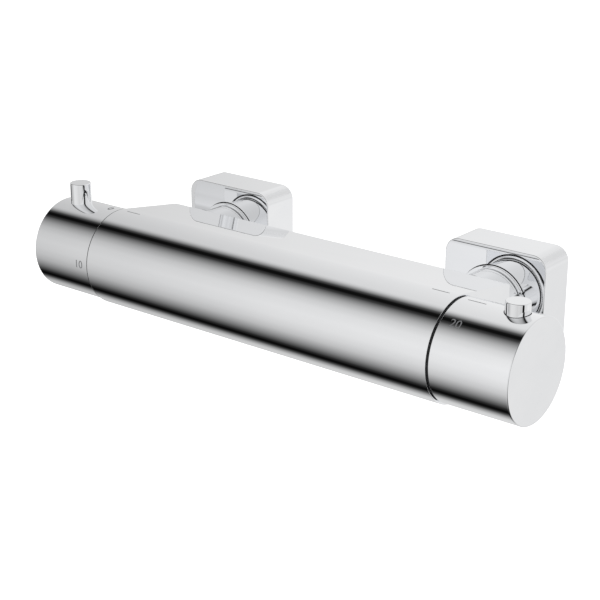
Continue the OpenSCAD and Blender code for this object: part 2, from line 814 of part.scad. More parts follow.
module regulating_cup() color("goldenrod") right_end() difference() {
    union() {
        rod(cup_r, cup_in, cup_out);
        for (turn = [0, 180])
            rotate([0, 0, turn]) translate([0, -cup_key_w / 2, cup_nut_in])
                cube([cup_r + cup_key_h, cup_key_w, cup_nut_l]);
    }
    rod(piston_r + piston_play, cup_in - overrun, cup_in + overrun);
    rod(cup_bore_r, overload_seat_w, cup_nut_in);
    rod(drive_r + easy, cup_nut_in - overrun, cup_out + overrun);
}

module overload_spring() color("silver") right_end()
    coil_spring(overload_spring_r, overload_wire_r, overload_seat_w + overload_seat_t + running,
        cup_nut_in - running, 3);

module overload_seat() color("whitesmoke") right_end()
    rod(cup_bore_r - easy, overload_seat_w, overload_seat_w + overload_seat_t);

module inlet_nipple(side) color("goldenrod") inlet(side) difference() {
    union() {
        rod(nipple_r, flange_front - running, nipple_in);
        rod(flange_r, washer_front, flange_front);
    }
    rod(nipple_bore_r, check_from, nipple_in + overrun);
    rod(waterway_r, washer_front - overrun, check_from + overrun);
}

module union_nut(side) color("gainsboro") inlet(side) difference() {
    union() {
        rod(nut_r, nut_front - nut_round_l, nut_front);
        intersection() {
            rod(nut_r, nut_back, nut_front - nut_round_l + running);
            hex_rod(nut_flats, nut_back, nut_front - nut_round_l + running);
        }
    }
    rod(nipple_r + loose, flange_front - overrun, nut_front + overrun);
    rod(union_thread_r + running, nut_back - overrun, flange_front);
}

module washer(side) color("dimgray") inlet(side) tube(flange_r, washer_r_in, seal_face, washer_front);

module filter(side) color("silver") inlet(side) difference() {
    rod(filter_r, seal_face, seal_face + filter_t);
    for (i = [-2 : 2], k = [-2 : 2])
        translate([i * mesh_pitch, k * mesh_pitch, 0]) rod(mesh_hole_r, seal_face - overrun, seal_face + overrun);
}

module check_valve_cage(side) color("whitesmoke") inlet(side) difference() {
    rod(check_cage_r, check_from, check_out);
    rod(check_seat_r, check_from - overrun, check_seat_w + overrun);
    rod(check_bore_r, check_seat_w, check_guide_w);
    rod(check_stem_r + easy, check_guide_w - overrun, check_out + overrun);
    for (i = [0 : 3])
        rotate([0, 0, 90 * i]) translate([(check_bore_r + check_stem_r) / 2, 0, 0])
            rod(check_stem_r + easy, check_guide_w - overrun, check_out + overrun);
}

module check_valve_poppet(side) color("dimgray") inlet(side) {
    rod(check_head_r, check_seat_w + running, check_seat_w + check_head_t);
    rod(check_stem_r, check_seat_w + check_head_t - running, check_out + running);
}

module check_valve_spring(side) color("silver") inlet(side)
    coil_spring(check_spring_r, check_wire_r, check_seat_w + check_head_t + running, check_guide_w - running, 5);

module wall_union(side) color("goldenrod") inlet(side) difference() {
    union() {
        rod(union_thread_r, collar_t - running, seal_face);
        hex_rod(collar_flats, 0, collar_t);
        translate([0, -inlet_offset, 0]) rod(half_inch_r, -wall_thread_l, running);
    }
    rod(waterway_r, 0, seal_face + overrun);
    translate([0, -inlet_offset, 0]) rod(wall_bore_r, -wall_thread_l - overrun, overrun);
}

module rounded_square(width, r) {
    square([width, width - 2 * r], center = true);
    square([width - 2 * r, width], center = true);
    for (i = [-1, 1], k = [-1, 1])
        translate([i * (width / 2 - r), k * (width / 2 - r)]) circle(r = r);
}

module escutcheon(side) color("gainsboro") inlet(side) difference() {
    union() {
        difference() {
            linear_extrude(height = escutcheon_depth) rounded_square(escutcheon_w, escutcheon_r);
            translate([0, 0, -overrun]) linear_extrude(height = escutcheon_depth - escutcheon_wall + overrun)
                rounded_square(escutcheon_w - 2 * escutcheon_wall, escutcheon_r - escutcheon_wall);
        }
        rod(escutcheon_hole_r + grip_depth + grip_wall, collar_back, escutcheon_depth - escutcheon_wall + running);
    }
    rod(escutcheon_hole_r, collar_back - overrun, escutcheon_depth + overrun);
    rod(escutcheon_hole_r + grip_depth, grip_from, grip_from + grip_t);
}

module escutcheon_grip_ring(side) color("dimgray") inlet(side)
    tube(escutcheon_hole_r + grip_depth - running, nut_r + running, grip_from + running, grip_from + grip_t - running);

body();
outlet_nipple();
outlet_o_ring();
flow_handle();
flow_lever_pin();
flow_handle_insert();
flow_grub_screw();
flow_spindle();
flow_moving_disc();
flow_fixed_disc();
flow_seat_seal();
flow_cartridge_housing();
flow_cartridge_o_ring();
flow_spindle_o_ring();
flow_stop_ring();
temperature_handle();
safety_button();
safety_button_spring();
temperature_handle_insert();
temperature_grub_screw();
temperature_spindle();
temperature_spindle_o_ring();
temperature_stop_ring();
cartridge_retaining_nut();
cartridge_head();
cartridge_sleeve();
cartridge_o_rings();
shuttle();
shuttle_o_ring();
thermostatic_element();
element_return_spring();
regulating_cup();
overload_spring();
overload_seat();
inlet_nipple(hot_side);  // hot_inlet_nipple
union_nut(hot_side);  // hot_union_nut
washer(hot_side);  // hot_washer
filter(hot_side);  // hot_filter
check_valve_cage(hot_side);  // hot_check_valve_cage
check_valve_poppet(hot_side);  // hot_check_valve_poppet
check_valve_spring(hot_side);  // hot_check_valve_spring
wall_union(hot_side);  // hot_wall_union
escutcheon(hot_side);  // hot_escutcheon
escutcheon_grip_ring(hot_side);  // hot_escutcheon_grip_ring
inlet_nipple(cold_side);  // cold_inlet_nipple
union_nut(cold_side);  // cold_union_nut
washer(cold_side);  // cold_washer
filter(cold_side);  // cold_filter
check_valve_cage(cold_side);  // cold_check_valve_cage
check_valve_poppet(cold_side);  // cold_check_valve_poppet
check_valve_spring(cold_side);  // cold_check_valve_spring
wall_union(cold_side);  // cold_wall_union
escutcheon(cold_side);  // cold_escutcheon
escutcheon_grip_ring(cold_side);  // cold_escutcheon_grip_ring
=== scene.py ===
"""Dresses the thermostatic shower valve in polished chrome, with threads, marks, a floor and soft light."""

import json
import logging
import math
from dataclasses import dataclass, field
from enum import Enum
from functools import cache
from typing import Callable, Sequence

import bmesh
import bpy
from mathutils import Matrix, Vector


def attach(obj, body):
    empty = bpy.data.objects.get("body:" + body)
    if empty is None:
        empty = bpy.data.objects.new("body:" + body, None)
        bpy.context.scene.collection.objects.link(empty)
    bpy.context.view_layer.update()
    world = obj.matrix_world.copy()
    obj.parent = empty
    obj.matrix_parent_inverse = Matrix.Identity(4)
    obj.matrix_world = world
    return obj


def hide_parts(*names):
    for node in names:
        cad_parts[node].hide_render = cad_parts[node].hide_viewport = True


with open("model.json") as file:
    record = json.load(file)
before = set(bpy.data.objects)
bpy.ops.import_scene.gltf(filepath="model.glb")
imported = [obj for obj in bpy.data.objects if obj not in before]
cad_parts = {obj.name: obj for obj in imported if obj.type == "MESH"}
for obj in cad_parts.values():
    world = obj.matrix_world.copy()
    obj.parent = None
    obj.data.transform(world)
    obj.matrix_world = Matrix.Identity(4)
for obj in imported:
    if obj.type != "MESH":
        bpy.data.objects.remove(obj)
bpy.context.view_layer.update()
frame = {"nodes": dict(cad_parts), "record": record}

Point = tuple[float, float, float]
Colour = tuple[float, float, float, float]
Profile = Sequence[tuple[float, float]]
Edge = bmesh.types.BMEdge
Socket = bpy.types.NodeSocket

LOG = logging.getLogger("valve")
MM = 0.001
MERGE = MM / 2000
# All lengths below are in millimetres. Closer than NEAR is the same place, a rim's edges lie within
# RIM_PLAY of its radius, and a cutter runs OVER its piece.
NEAR = 0.01
RIM_PLAY = 0.05
OVER = 1.0
BAR_Y = -74.0
BODY_RADIUS = 22.5
BODY_REAR = -36.0
HANDLE_RADIUS = 21.75
OUTLET: Point = (-66.0, -50.0, -21.5)
WHITE: Colour = (1.0, 1.0, 1.0, 1.0)


class Axis(Enum):
    """The axis that a turned piece is built along, with the turn that lays a circle square to it."""

    X = ((1.0, 0.0, 0.0), (0.0, math.pi / 2, 0.0))
    Y = ((0.0, 1.0, 0.0), (math.pi / 2, 0.0, 0.0))
    Z = ((0.0, 0.0, 1.0), (0.0, 0.0, 0.0))

    @property
    def way(self) -> Vector:
        """The unit vector along the axis."""
        return Vector(self.value[0])

    @property
    def turn(self) -> tuple[float, float, float]:
        """The turn that lays a circle's normal along the axis."""
        return self.value[1]

    def place(self, at: Vector) -> float:
        """The place of a point along the axis, in millimetres."""
        return at.dot(self.way) / MM


class Side(Enum):
    """The two water inlets, with their place along the bar."""

    HOT = -75.0
    COLD = 75.0

    @property
    def word(self) -> str:
        """The word that starts the names of this side's nodes."""
        return self.name.lower()


def lies_at(edge: Edge, axis: Axis, place: float) -> bool:
    """Whether both ends of an edge lie at a place along an axis."""
    return all(abs(axis.place(vert.co) - place) < NEAR for vert in edge.verts)


def run(edge: Edge, axis: Axis) -> float:
    """How far an edge runs along an axis."""
    return abs(axis.place(edge.verts[0].co) - axis.place(edge.verts[1].co))


def reach(edge: Edge, axis: Axis, centre: Point) -> float:
    """How far an edge's first end lies from an axis through a point."""
    arm = edge.verts[0].co / MM - Vector(centre)
    return (arm - axis.way * arm.dot(axis.way)).length


class Bench:
    """The modelling bench: starts primitives, picks mesh elements by place and runs edit tools on them."""

    def __init__(self, piece: bpy.types.Object) -> None:
        """Takes a mesh object onto the bench."""
        self.piece = piece

    @staticmethod
    def clear() -> None:
        """Leaves nothing selected, so that an operator meets only what is picked next."""
        if bpy.context.object and bpy.context.object.mode != "OBJECT":
            bpy.ops.object.mode_set(mode="OBJECT")
        bpy.ops.object.select_all(action="DESELECT")

    @classmethod
    def started(cls, name: str) -> "Bench":
        """Names the primitive that was just added and applies its place.

        Args:
            name: The name of the new piece.

        Returns:
            The bench that holds the piece.
        """
        piece = bpy.context.object
        piece.name = piece.data.name = name
        bpy.ops.object.transform_apply(location=True, rotation=True, scale=True)
        return cls(piece)

    @classmethod
    def block(cls, name: str, centre: Point, size: Point) -> "Bench":
        """Starts from a cube.

        Args:
            name: The name of the new piece.
            centre: Its centre.
            size: Its three lengths.

        Returns:
            The bench that holds the piece.
        """
        cls.clear()
        bpy.ops.mesh.primitive_cube_add(
            size=1.0, location=[part * MM for part in centre], scale=[part * MM for part in size])
        return cls.started(name)

    @classmethod
    def tube(
        cls, name: str, axis: Axis, centre: Point, profile: Profile, sides: int, closed: bool = False,
    ) -> "Bench":
        """Builds a turned piece: one circle, extruded and resized from station to station.

        Args:
            name: The name of the new piece.
            axis: The axis that it is turned about.
            centre: A point on that axis.
            profile: Pairs of the place along the axis and the radius.
            sides: The number of faces round the piece.
            closed: Whether the last station joins the first, as on a ring.

        Returns:
            The bench that holds the piece.
        """
        cls.clear()
        base = Vector(centre) * MM
        along, radius = profile[0]
        bpy.ops.mesh.primitive_circle_add(
            vertices=sides, radius=radius * MM, fill_type="NOTHING",
            location=base + axis.way * along * MM, rotation=axis.turn,
        )
        bench = cls.started(name)
        bench.pick_all("EDGE")
        for next_along, next_radius in profile[1:]:
            bpy.ops.mesh.extrude_edges_move(
                TRANSFORM_OT_translate={"value": axis.way * (next_along - along) * MM}
            )
            if next_radius != radius:
                share = next_radius / radius
                keep = [share if part == 0 else 1.0 for part in axis.way]
                bpy.ops.transform.resize(value=keep, center_override=base + axis.way * next_along * MM)
            along, radius = next_along, next_radius
        if closed:
            bpy.ops.mesh.select_all(action="SELECT")
            bpy.ops.mesh.remove_doubles(threshold=2 * MERGE)
        else:
            bpy.ops.mesh.edge_face_add()
            bench.pick_edges(lambda edge: edge.is_boundary)
            bpy.ops.mesh.edge_face_add()
        bench.face_out()
        return bench

    def edit(self, kind: str) -> bmesh.types.BMesh:
        """Opens the piece in edit mode.

        Args:
            kind: The select mode: VERT, EDGE or FACE.

        Returns:
            The mesh under edit.
        """
        bpy.context.view_layer.objects.active = self.piece
        self.piece.select_set(True)
        if self.piece.mode != "EDIT":
            bpy.ops.object.mode_set(mode="EDIT")
        bpy.ops.mesh.select_mode(type=kind)
        return bmesh.from_edit_mesh(self.piece.data)

    def pick_all(self, kind: str) -> None:
        """Selects the whole piece in one select mode."""
        self.edit(kind)
        bpy.ops.mesh.select_all(action="SELECT")

    def _pick(self, kind: str, test: Callable[[object], bool]) -> None:
        """Selects the elements of one kind that pass a test, and nothing else.

        Args:
            kind: The kind: VERT, EDGE or FACE.
            test: Says whether an element is picked.
        """
        mesh = self.edit(kind)
        bpy.ops.mesh.select_all(action="DESELECT")
        parts = {"VERT": mesh.verts, "EDGE": mesh.edges, "FACE": mesh.faces}[kind]
        for part in [part for part in parts if test(part)]:
            part.select_set(True)
        if kind == "VERT":
            mesh.select_flush_mode()
        bmesh.update_edit_mesh(self.piece.data)

    def pick_edges(self, test: Callable[[Edge], bool]) -> None:
        """Selects the edges that pass a test, and nothing else."""
        self._pick("EDGE", test)

    def pick_faces(self, test: Callable[[bmesh.types.BMFace], bool]) -> None:
        """Selects the faces that pass a test, and nothing else."""
        self._pick("FACE", test)

    def pick_points(self, test: Callable[[Vector], bool]) -> None:
        """Selects the vertices whose place, in millimetres, passes a test, and nothing else."""
        self._pick("VERT", lambda vert: test(vert.co / MM))

    def bevel(self, width: float, segments: int) -> None:
        """Rounds the picked edges over a width, with a number of faces across it."""
        bpy.ops.mesh.bevel(
            offset=width * MM, offset_type="OFFSET", segments=segments, profile=0.5, affect="EDGES",
            clamp_overlap=False, loop_slide=True,
        )

    def face_out(self) -> None:
        """Merges doubles and turns all faces outwards."""
        self.pick_all("FACE")
        bpy.ops.mesh.remove_doubles(threshold=MERGE)
        bpy.ops.mesh.normals_make_consistent(inside=False)

    def done(self) -> bpy.types.Object:
        """Goes back to object mode.

        Returns:
            The piece.
        """
        if self.piece.mode != "OBJECT":
            bpy.ops.object.mode_set(mode="OBJECT")
        self.clear()
        return self.piece

    def take(self) -> bpy.types.Object:
        """Selects this piece alone, in object mode.

        Returns:
            The piece.
        """
        self.clear()
        self.piece.select_set(True)
        bpy.context.view_layer.objects.active = self.piece
        return self.piece

    def modify(self, kind: str, **settings: object) -> None:
        """Adds a modifier and applies it.

        Args:
            kind: The modifier's type.
            **settings: Its settings by name.
        """
        piece = self.take()
        modifier = piece.modifiers.new(kind.lower(), kind)
        for name, value in settings.items():
            setattr(modifier, name, value)
        bpy.ops.object.modifier_apply(modifier=modifier.name)

    def cut(self, tool: "Bench", keep_common: bool = False) -> None:
        """Cuts the piece with another one, which is used up.

        Args:
            tool: The bench that holds the cutter.
            keep_common: Whether the common part stays and the rest goes.
        """
        cutter = tool.done()
        self.modify(
            "BOOLEAN", object=cutter, operation="INTERSECT" if keep_common else "DIFFERENCE", solver="EXACT",
        )
        bpy.data.objects.remove(cutter)

    def join(self, *others: "Bench") -> None:
        """Joins other pieces to this one, as separate shells of one mesh.

        Args:
            *others: The benches that hold them.
        """
        for other in others:
            other.done()
        self.take()
        for other in others:
            other.piece.select_set(True)
        bpy.ops.object.join()

    def polish(self, sharp: float = 30.0) -> bpy.types.Object:
        """Shades the piece smooth up to an angle and lets its large faces rule the normals.

        Args:
            sharp: The angle in degrees past which an edge stays sharp.

        Returns:
            The finished piece.
        """
        self.take()
        bpy.ops.object.shade_smooth_by_angle(angle=math.radians(sharp))
        self.modify("WEIGHTED_NORMAL", mode="FACE_AREA", weight=50, keep_sharp=True)
        self.clear()
        return self.piece


class Tree:
    """A node tree under construction, with short calls for its nodes and links."""

    def __init__(self, tree: bpy.types.NodeTree) -> None:
        """Starts on a tree, which is emptied."""
        self.tree = tree
        tree.nodes.clear()

    def feed(self, node: bpy.types.Node, inputs: dict[object, object]) -> None:
        """Sets or links a node's inputs.

        Args:
            node: The node.
            inputs: Values or output sockets by input name or number.
        """
        for key, value in inputs.items():
            if isinstance(value, Socket):
                self.tree.links.new(value, node.inputs[key])
            else:
                node.inputs[key].default_value = value

    def node(
        self, kind: str, inputs: dict[object, object] | None = None, **settings: object
    ) -> bpy.types.Node:
        """Adds a node.

        Args:
            kind: The node's type without its ShaderNode prefix, or its whole type.
            inputs: Values or output sockets by input name or number.
            **settings: Its settings by name.

        Returns:
            The node.
        """
        made = self.tree.nodes.new(kind if kind.startswith("NodeGroup") else f"ShaderNode{kind}")
        for name, value in settings.items():
            setattr(made, name, value)
        self.feed(made, inputs or {})
        return made

    def value(self, operation: str, *terms: object) -> Socket:
        """Adds a Math node on values or sockets and gives its output."""
        return self.node("Math", dict(enumerate(terms)), operation=operation).outputs[0]

    def ranged(
        self, value: Socket, start: float, end: float, low: object = 0.0, high: object = 1.0
    ) -> Socket:
        """Maps a value's range, start to end, onto low to high and gives the output."""
        limits = {"From Min": start, "From Max": end, "To Min": low, "To Max": high}
        return self.node("MapRange", {"Value": value, **limits}).outputs["Result"]

    def mixed(self, share: object, first: object, second: object, blend: str = "MIX") -> Socket:
        """Mixes two colours by the share of the second and gives the output."""
        inputs = {"Factor": share, "A": first, "B": second}
        return self.node("Mix", inputs, data_type="RGBA", blend_type=blend).outputs["Result"]

    def ramp(self, factor: Socket, stops: Sequence[tuple[float, Colour]]) -> Socket:
        """Adds a colour ramp.

        Args:
            factor: The socket that drives it.
            stops: Pairs of place and colour.

        Returns:
            The ramp's colour output.
        """
        made = self.node("ValToRGB", {"Fac": factor})
        elements = made.color_ramp.elements
        while len(elements) < len(stops):
            elements.new(0.5)
        for element, (place, colour) in zip(elements, stops):
            element.position = place
            element.color = colour
        return made.outputs["Color"]

    def greys(self, factor: Socket, profile: Profile, low: float, high: float) -> Socket:
        """Adds a ramp of greys, whose pairs of place and brightness run from low to high."""
        return self.ramp(factor, [((at - low) / (high - low), grey(tone)) for at, tone in profile])


def grey(tone: float) -> Colour:
    """The grey of a brightness."""
    return tone, tone, tone, 1.0


class Effect:
    """The shader groups that several finishes share, each built once."""

    # Sheltered plate: half the inside of an escutcheon, the back of its front wall, and the outlet's bore
    cover_half: float = 23.7
    cover_back: float = -17.9
    bore_reach: float = 7.05
    bore_top: float = -9.0

    @staticmethod
    def _group(name: str, inputs: dict[str, float], outputs: Sequence[str]) -> Tree:
        """Starts a group with its sockets.

        Args:
            name: The group's name.
            inputs: Its value inputs and their defaults.
            outputs: Its value outputs.

        Returns:
            The group's tree, still empty.
        """
        tree = bpy.data.node_groups.new(name, "ShaderNodeTree")
        for word, value in inputs.items():
            socket = tree.interface.new_socket(word, in_out="INPUT", socket_type="NodeSocketFloat")
            socket.default_value = value
        for word in outputs:
            tree.interface.new_socket(word, in_out="OUTPUT", socket_type="NodeSocketFloat")
        return Tree(tree)

    @classmethod
    @cache
    def wiped(cls) -> bpy.types.NodeTree:
        """Faint wipe marks and drying haze, as a roughness and a height.

        Returns:
            The group, with inputs Scale, Low and High and outputs Roughness and Height.
        """
        build = cls._group("wiped", {"Scale": 60.0, "Low": 0.02, "High": 0.05}, ("Roughness", "Height"))
        given = build.node("NodeGroupInput").outputs
        place = build.node("TexCoord").outputs["Object"]
        stretched = build.node("Mapping", {"Vector": place, "Scale": (0.35, 1.0, 1.6)}).outputs["Vector"]
        pattern = {"Vector": stretched, "Scale": given["Scale"], "Detail": 5.0, "Roughness": 0.6}
        haze = build.node("TexNoise", pattern).outputs["Fac"]
        soft = build.ranged(haze, 0.35, 0.75, given["Low"], given["High"])
        build.node("NodeGroupOutput", {"Roughness": soft, "Height": haze})
        return build.tree

    @classmethod
    @cache
    def sheltered(cls) -> bpy.types.NodeTree:
        """Where plate was never buffed, in an escutcheon or the outlet, and where it is bare, as masks.

        Returns:
            The group, with outputs Dull and Waterway.
        """
        build = cls._group("sheltered", {}, ("Dull", "Waterway"))
        x, y, z = build.node("SeparateXYZ", {"Vector": build.node("TexCoord").outputs["Object"]}).outputs
        across = build.value("COMPARE", build.value("ABSOLUTE", x), Side.COLD.value * MM, cls.cover_half * MM)
        high = build.value("COMPARE", z, 0.0, cls.cover_half * MM)
        deep = build.value("GREATER_THAN", y, cls.cover_back * MM)
        inside = build.value("MULTIPLY", build.value("MULTIPLY", across, high), deep)
        flat = build.node("CombineXYZ", {"X": x, "Y": y}).outputs["Vector"]
        centre = (OUTLET[0] * MM, OUTLET[1] * MM, 0.0)
        off = build.node("VectorMath", {0: flat, 1: centre}, operation="DISTANCE").outputs["Value"]
        near = build.value("LESS_THAN", off, cls.bore_reach * MM)
        way = build.value("MULTIPLY", near, build.value("LESS_THAN", z, cls.bore_top * MM))
        build.node("NodeGroupOutput", {"Dull": build.value("MAXIMUM", inside, way), "Waterway": way})
        return build.tree

    @classmethod
    @cache
    def turned(cls) -> bpy.types.NodeTree:
        """Fine lathe rings across an axis and a slow change of colour, as two masks.

        Returns:
            The group, with inputs Along and Scale and outputs Rings and Patina.
        """
        build = cls._group("turned", {"Along": 0.0, "Scale": 2600.0}, ("Rings", "Patina"))
        given = build.node("NodeGroupInput").outputs
        line = {"W": given["Along"], "Scale": given["Scale"], "Detail": 2.0}
        rings = build.node("TexNoise", line, noise_dimensions="1D").outputs["Fac"]
        place = build.node("TexCoord").outputs["Object"]
        patina = build.node("TexNoise", {"Vector": place, "Scale": 90.0, "Detail": 6.0, "Roughness": 0.65})
        build.node("NodeGroupOutput", {"Rings": rings, "Patina": patina.outputs["Fac"]})
        return build.tree

    @classmethod
    @cache
    def moulded(cls) -> bpy.types.NodeTree:
        """The fine grain of moulded plastic and rubber with a little dust, as two masks.

        Returns:
            The group, with input Scale and outputs Grain and Dust.
        """
        build = cls._group("moulded", {"Scale": 3000.0}, ("Grain", "Dust"))
        given = build.node("NodeGroupInput").outputs
        place = build.node("TexCoord").outputs["Object"]
        grain = build.node("TexNoise", {"Vector": place, "Scale": given["Scale"], "Detail": 3.0})
        dust = build.node("TexNoise", {"Vector": place, "Scale": 140.0, "Detail": 8.0, "Roughness": 0.7})
        build.node("NodeGroupOutput", {"Grain": grain.outputs["Fac"], "Dust": dust.outputs["Fac"]})
        return build.tree


@dataclass(frozen=True)
class Finish:
    """A finish that a material is made from."""

    slot: str

    def fill(self, build: Tree, shader: bpy.types.Node) -> None:
        """Sets the shader and links what changes over the surface, in the material's tree."""
        raise NotImplementedError

    def make(self) -> bpy.types.Material:
        """Builds the material.

        Returns:
            The material, named after its slot.
        """
        made = bpy.data.materials.new(self.slot)
        made.use_nodes = True
        build = Tree(made.node_tree)
        shader = build.node("BsdfPrincipled")
        build.node("OutputMaterial", {"Surface": shader.outputs["BSDF"]})
        self.fill(build, shader)
        return made


@dataclass(frozen=True)
class Plated(Finish):
    """Polished chrome plate: a cool mirror with faint wipe marks and hardly any waviness."""

    light: Colour = (0.93, 0.935, 0.945, 1.0)
    dim: Colour = (0.90, 0.908, 0.922, 1.0)
    low: float = 0.012
    high: float = 0.03
    scale: float = 55.0
    unbuffed: float = 0.34
    bare: Colour = (0.42, 0.29, 0.13, 1.0)

    def fill(self, build: Tree, shader: bpy.types.Node) -> None:
        """Links the plate's slight change of tone, its wipe marks, its waviness and its sheltered places.

        Args:
            build: The material's tree.
            shader: Its Principled BSDF.
        """
        limits = {"Scale": self.scale, "Low": self.low, "High": self.high}
        wiped = build.node("Group", limits, node_tree=Effect.wiped()).outputs
        masks = build.node("Group", node_tree=Effect.sheltered()).outputs
        tone = build.ramp(wiped["Height"], ((0.3, self.light), (0.8, self.dim)))
        wave = build.node("Bump", {"Height": wiped["Height"], "Strength": 0.02, "Distance": 0.0002})
        build.feed(shader, {
            "Metallic": 1.0,
            "Base Color": build.mixed(masks["Waterway"], tone, self.bare),
            "Roughness": build.value("MULTIPLY_ADD", masks["Dull"], self.unbuffed, wiped["Roughness"]),
            "Normal": wave.outputs["Normal"],
        })


@dataclass(frozen=True)
class Bare(Finish):
    """Bare machined metal with lathe rings across one axis and a slight patina."""

    light: Colour
    dark: Colour
    axis: Axis
    low: float = 0.2
    high: float = 0.38

    def fill(self, build: Tree, shader: bpy.types.Node) -> None:
        """Links the rings to roughness and bump, and the patina to colour.

        Args:
            build: The material's tree.
            shader: Its Principled BSDF.
        """
        parts = build.node("SeparateXYZ", {"Vector": build.node("TexCoord").outputs["Object"]}).outputs
        turned = build.node("Group", {"Along": parts[self.axis.name]}, node_tree=Effect.turned()).outputs
        bump = build.node("Bump", {"Height": turned["Rings"], "Strength": 0.25, "Distance": 0.00004})
        build.feed(shader, {
            "Metallic": 1.0,
            "Base Color": build.ramp(turned["Patina"], ((0.35, self.light), (0.7, self.dark))),
            "Roughness": build.ranged(turned["Rings"], 0.0, 1.0, self.low, self.high),
            "Normal": bump.outputs["Normal"],
        })


@dataclass(frozen=True)
class Moulded(Finish):
    """Moulded plastic, ceramic or rubber with a fine grain and a trace of dust."""

    base: Colour
    dusty: Colour
    rough: float = 0.45
    grain: float = 3000.0
    bump: float = 0.2

    def fill(self, build: Tree, shader: bpy.types.Node) -> None:
        """Links the dust to colour and roughness, and the grain to bump.

        Args:
            build: The material's tree.
            shader: Its Principled BSDF.
        """
        moulded = build.node("Group", {"Scale": self.grain}, node_tree=Effect.moulded()).outputs
        bump = build.node("Bump", {"Height": moulded["Grain"], "Strength": self.bump, "Distance": 0.00003})
        build.feed(shader, {
            "Base Color": build.ramp(moulded["Dust"], ((0.5, self.base), (0.85, self.dusty))),
            "Roughness": build.ranged(moulded["Dust"], 0.0, 1.0, self.rough - 0.08, self.rough + 0.12),
            "Normal": bump.outputs["Normal"],
        })


@dataclass
class Finishes:
    """All finishes of the valve, by the record's material slot."""

    made: dict[str, bpy.types.Material] = field(default_factory=dict)

    def build(self) -> None:
        """Builds every material and lays it on the CAD nodes of its slot."""
        table: Sequence[Finish] = (
            Plated("chrome"),
            Bare("brass", (0.80, 0.61, 0.30, 1.0), (0.62, 0.43, 0.18, 1.0), Axis.Y),
            Bare("copper", (0.80, 0.46, 0.30, 1.0), (0.55, 0.27, 0.16, 1.0), Axis.X),
            Bare("steel", (0.66, 0.67, 0.68, 1.0), (0.52, 0.53, 0.55, 1.0), Axis.X, 0.18, 0.3),
            Moulded("seal_rubber", (0.012, 0.012, 0.013, 1.0), (0.05, 0.05, 0.05, 1.0), 0.62, 2200.0),
            Moulded("fibre", (0.30, 0.075, 0.045, 1.0), (0.36, 0.15, 0.11, 1.0), 0.8, 1500.0, 0.5),
            Moulded("ceramic", (0.86, 0.85, 0.82, 1.0), (0.78, 0.77, 0.75, 1.0), 0.18, 4000.0, 0.05),
            Moulded("white_plastic", (0.82, 0.82, 0.80, 1.0), (0.72, 0.72, 0.70, 1.0), 0.4),
            Moulded("grey_plastic", (0.17, 0.173, 0.18, 1.0), (0.22, 0.22, 0.225, 1.0), 0.45),
            Moulded("black_plastic", (0.006, 0.006, 0.007, 1.0), (0.02, 0.02, 0.02, 1.0), 0.5),
        )
        for finish in table:
            self.made[finish.slot] = finish.make()
        for part in frame["record"]["subparts"]:
            node = frame["nodes"][part["node"]]
            node.data.materials.clear()
            node.data.materials.append(self.made[part["material_slot"]])

    def lay(self, piece: bpy.types.Object, slot: str, body: str, *nodes: str) -> None:
        """Gives a finished piece the material of its slot and its body, and hides the CAD nodes that it
        replaces.

        Args:
            piece: The finished piece.
            slot: The record's material slot.
            body: The body that it moves with.
            *nodes: The CAD nodes that it replaces.
        """
        piece.data.materials.clear()
        piece.data.materials.append(self.made[slot])
        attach(piece, body)
        if nodes:
            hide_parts(*nodes)
        LOG.info("%s: %d faces on %s", piece.name, len(piece.data.polygons), body)


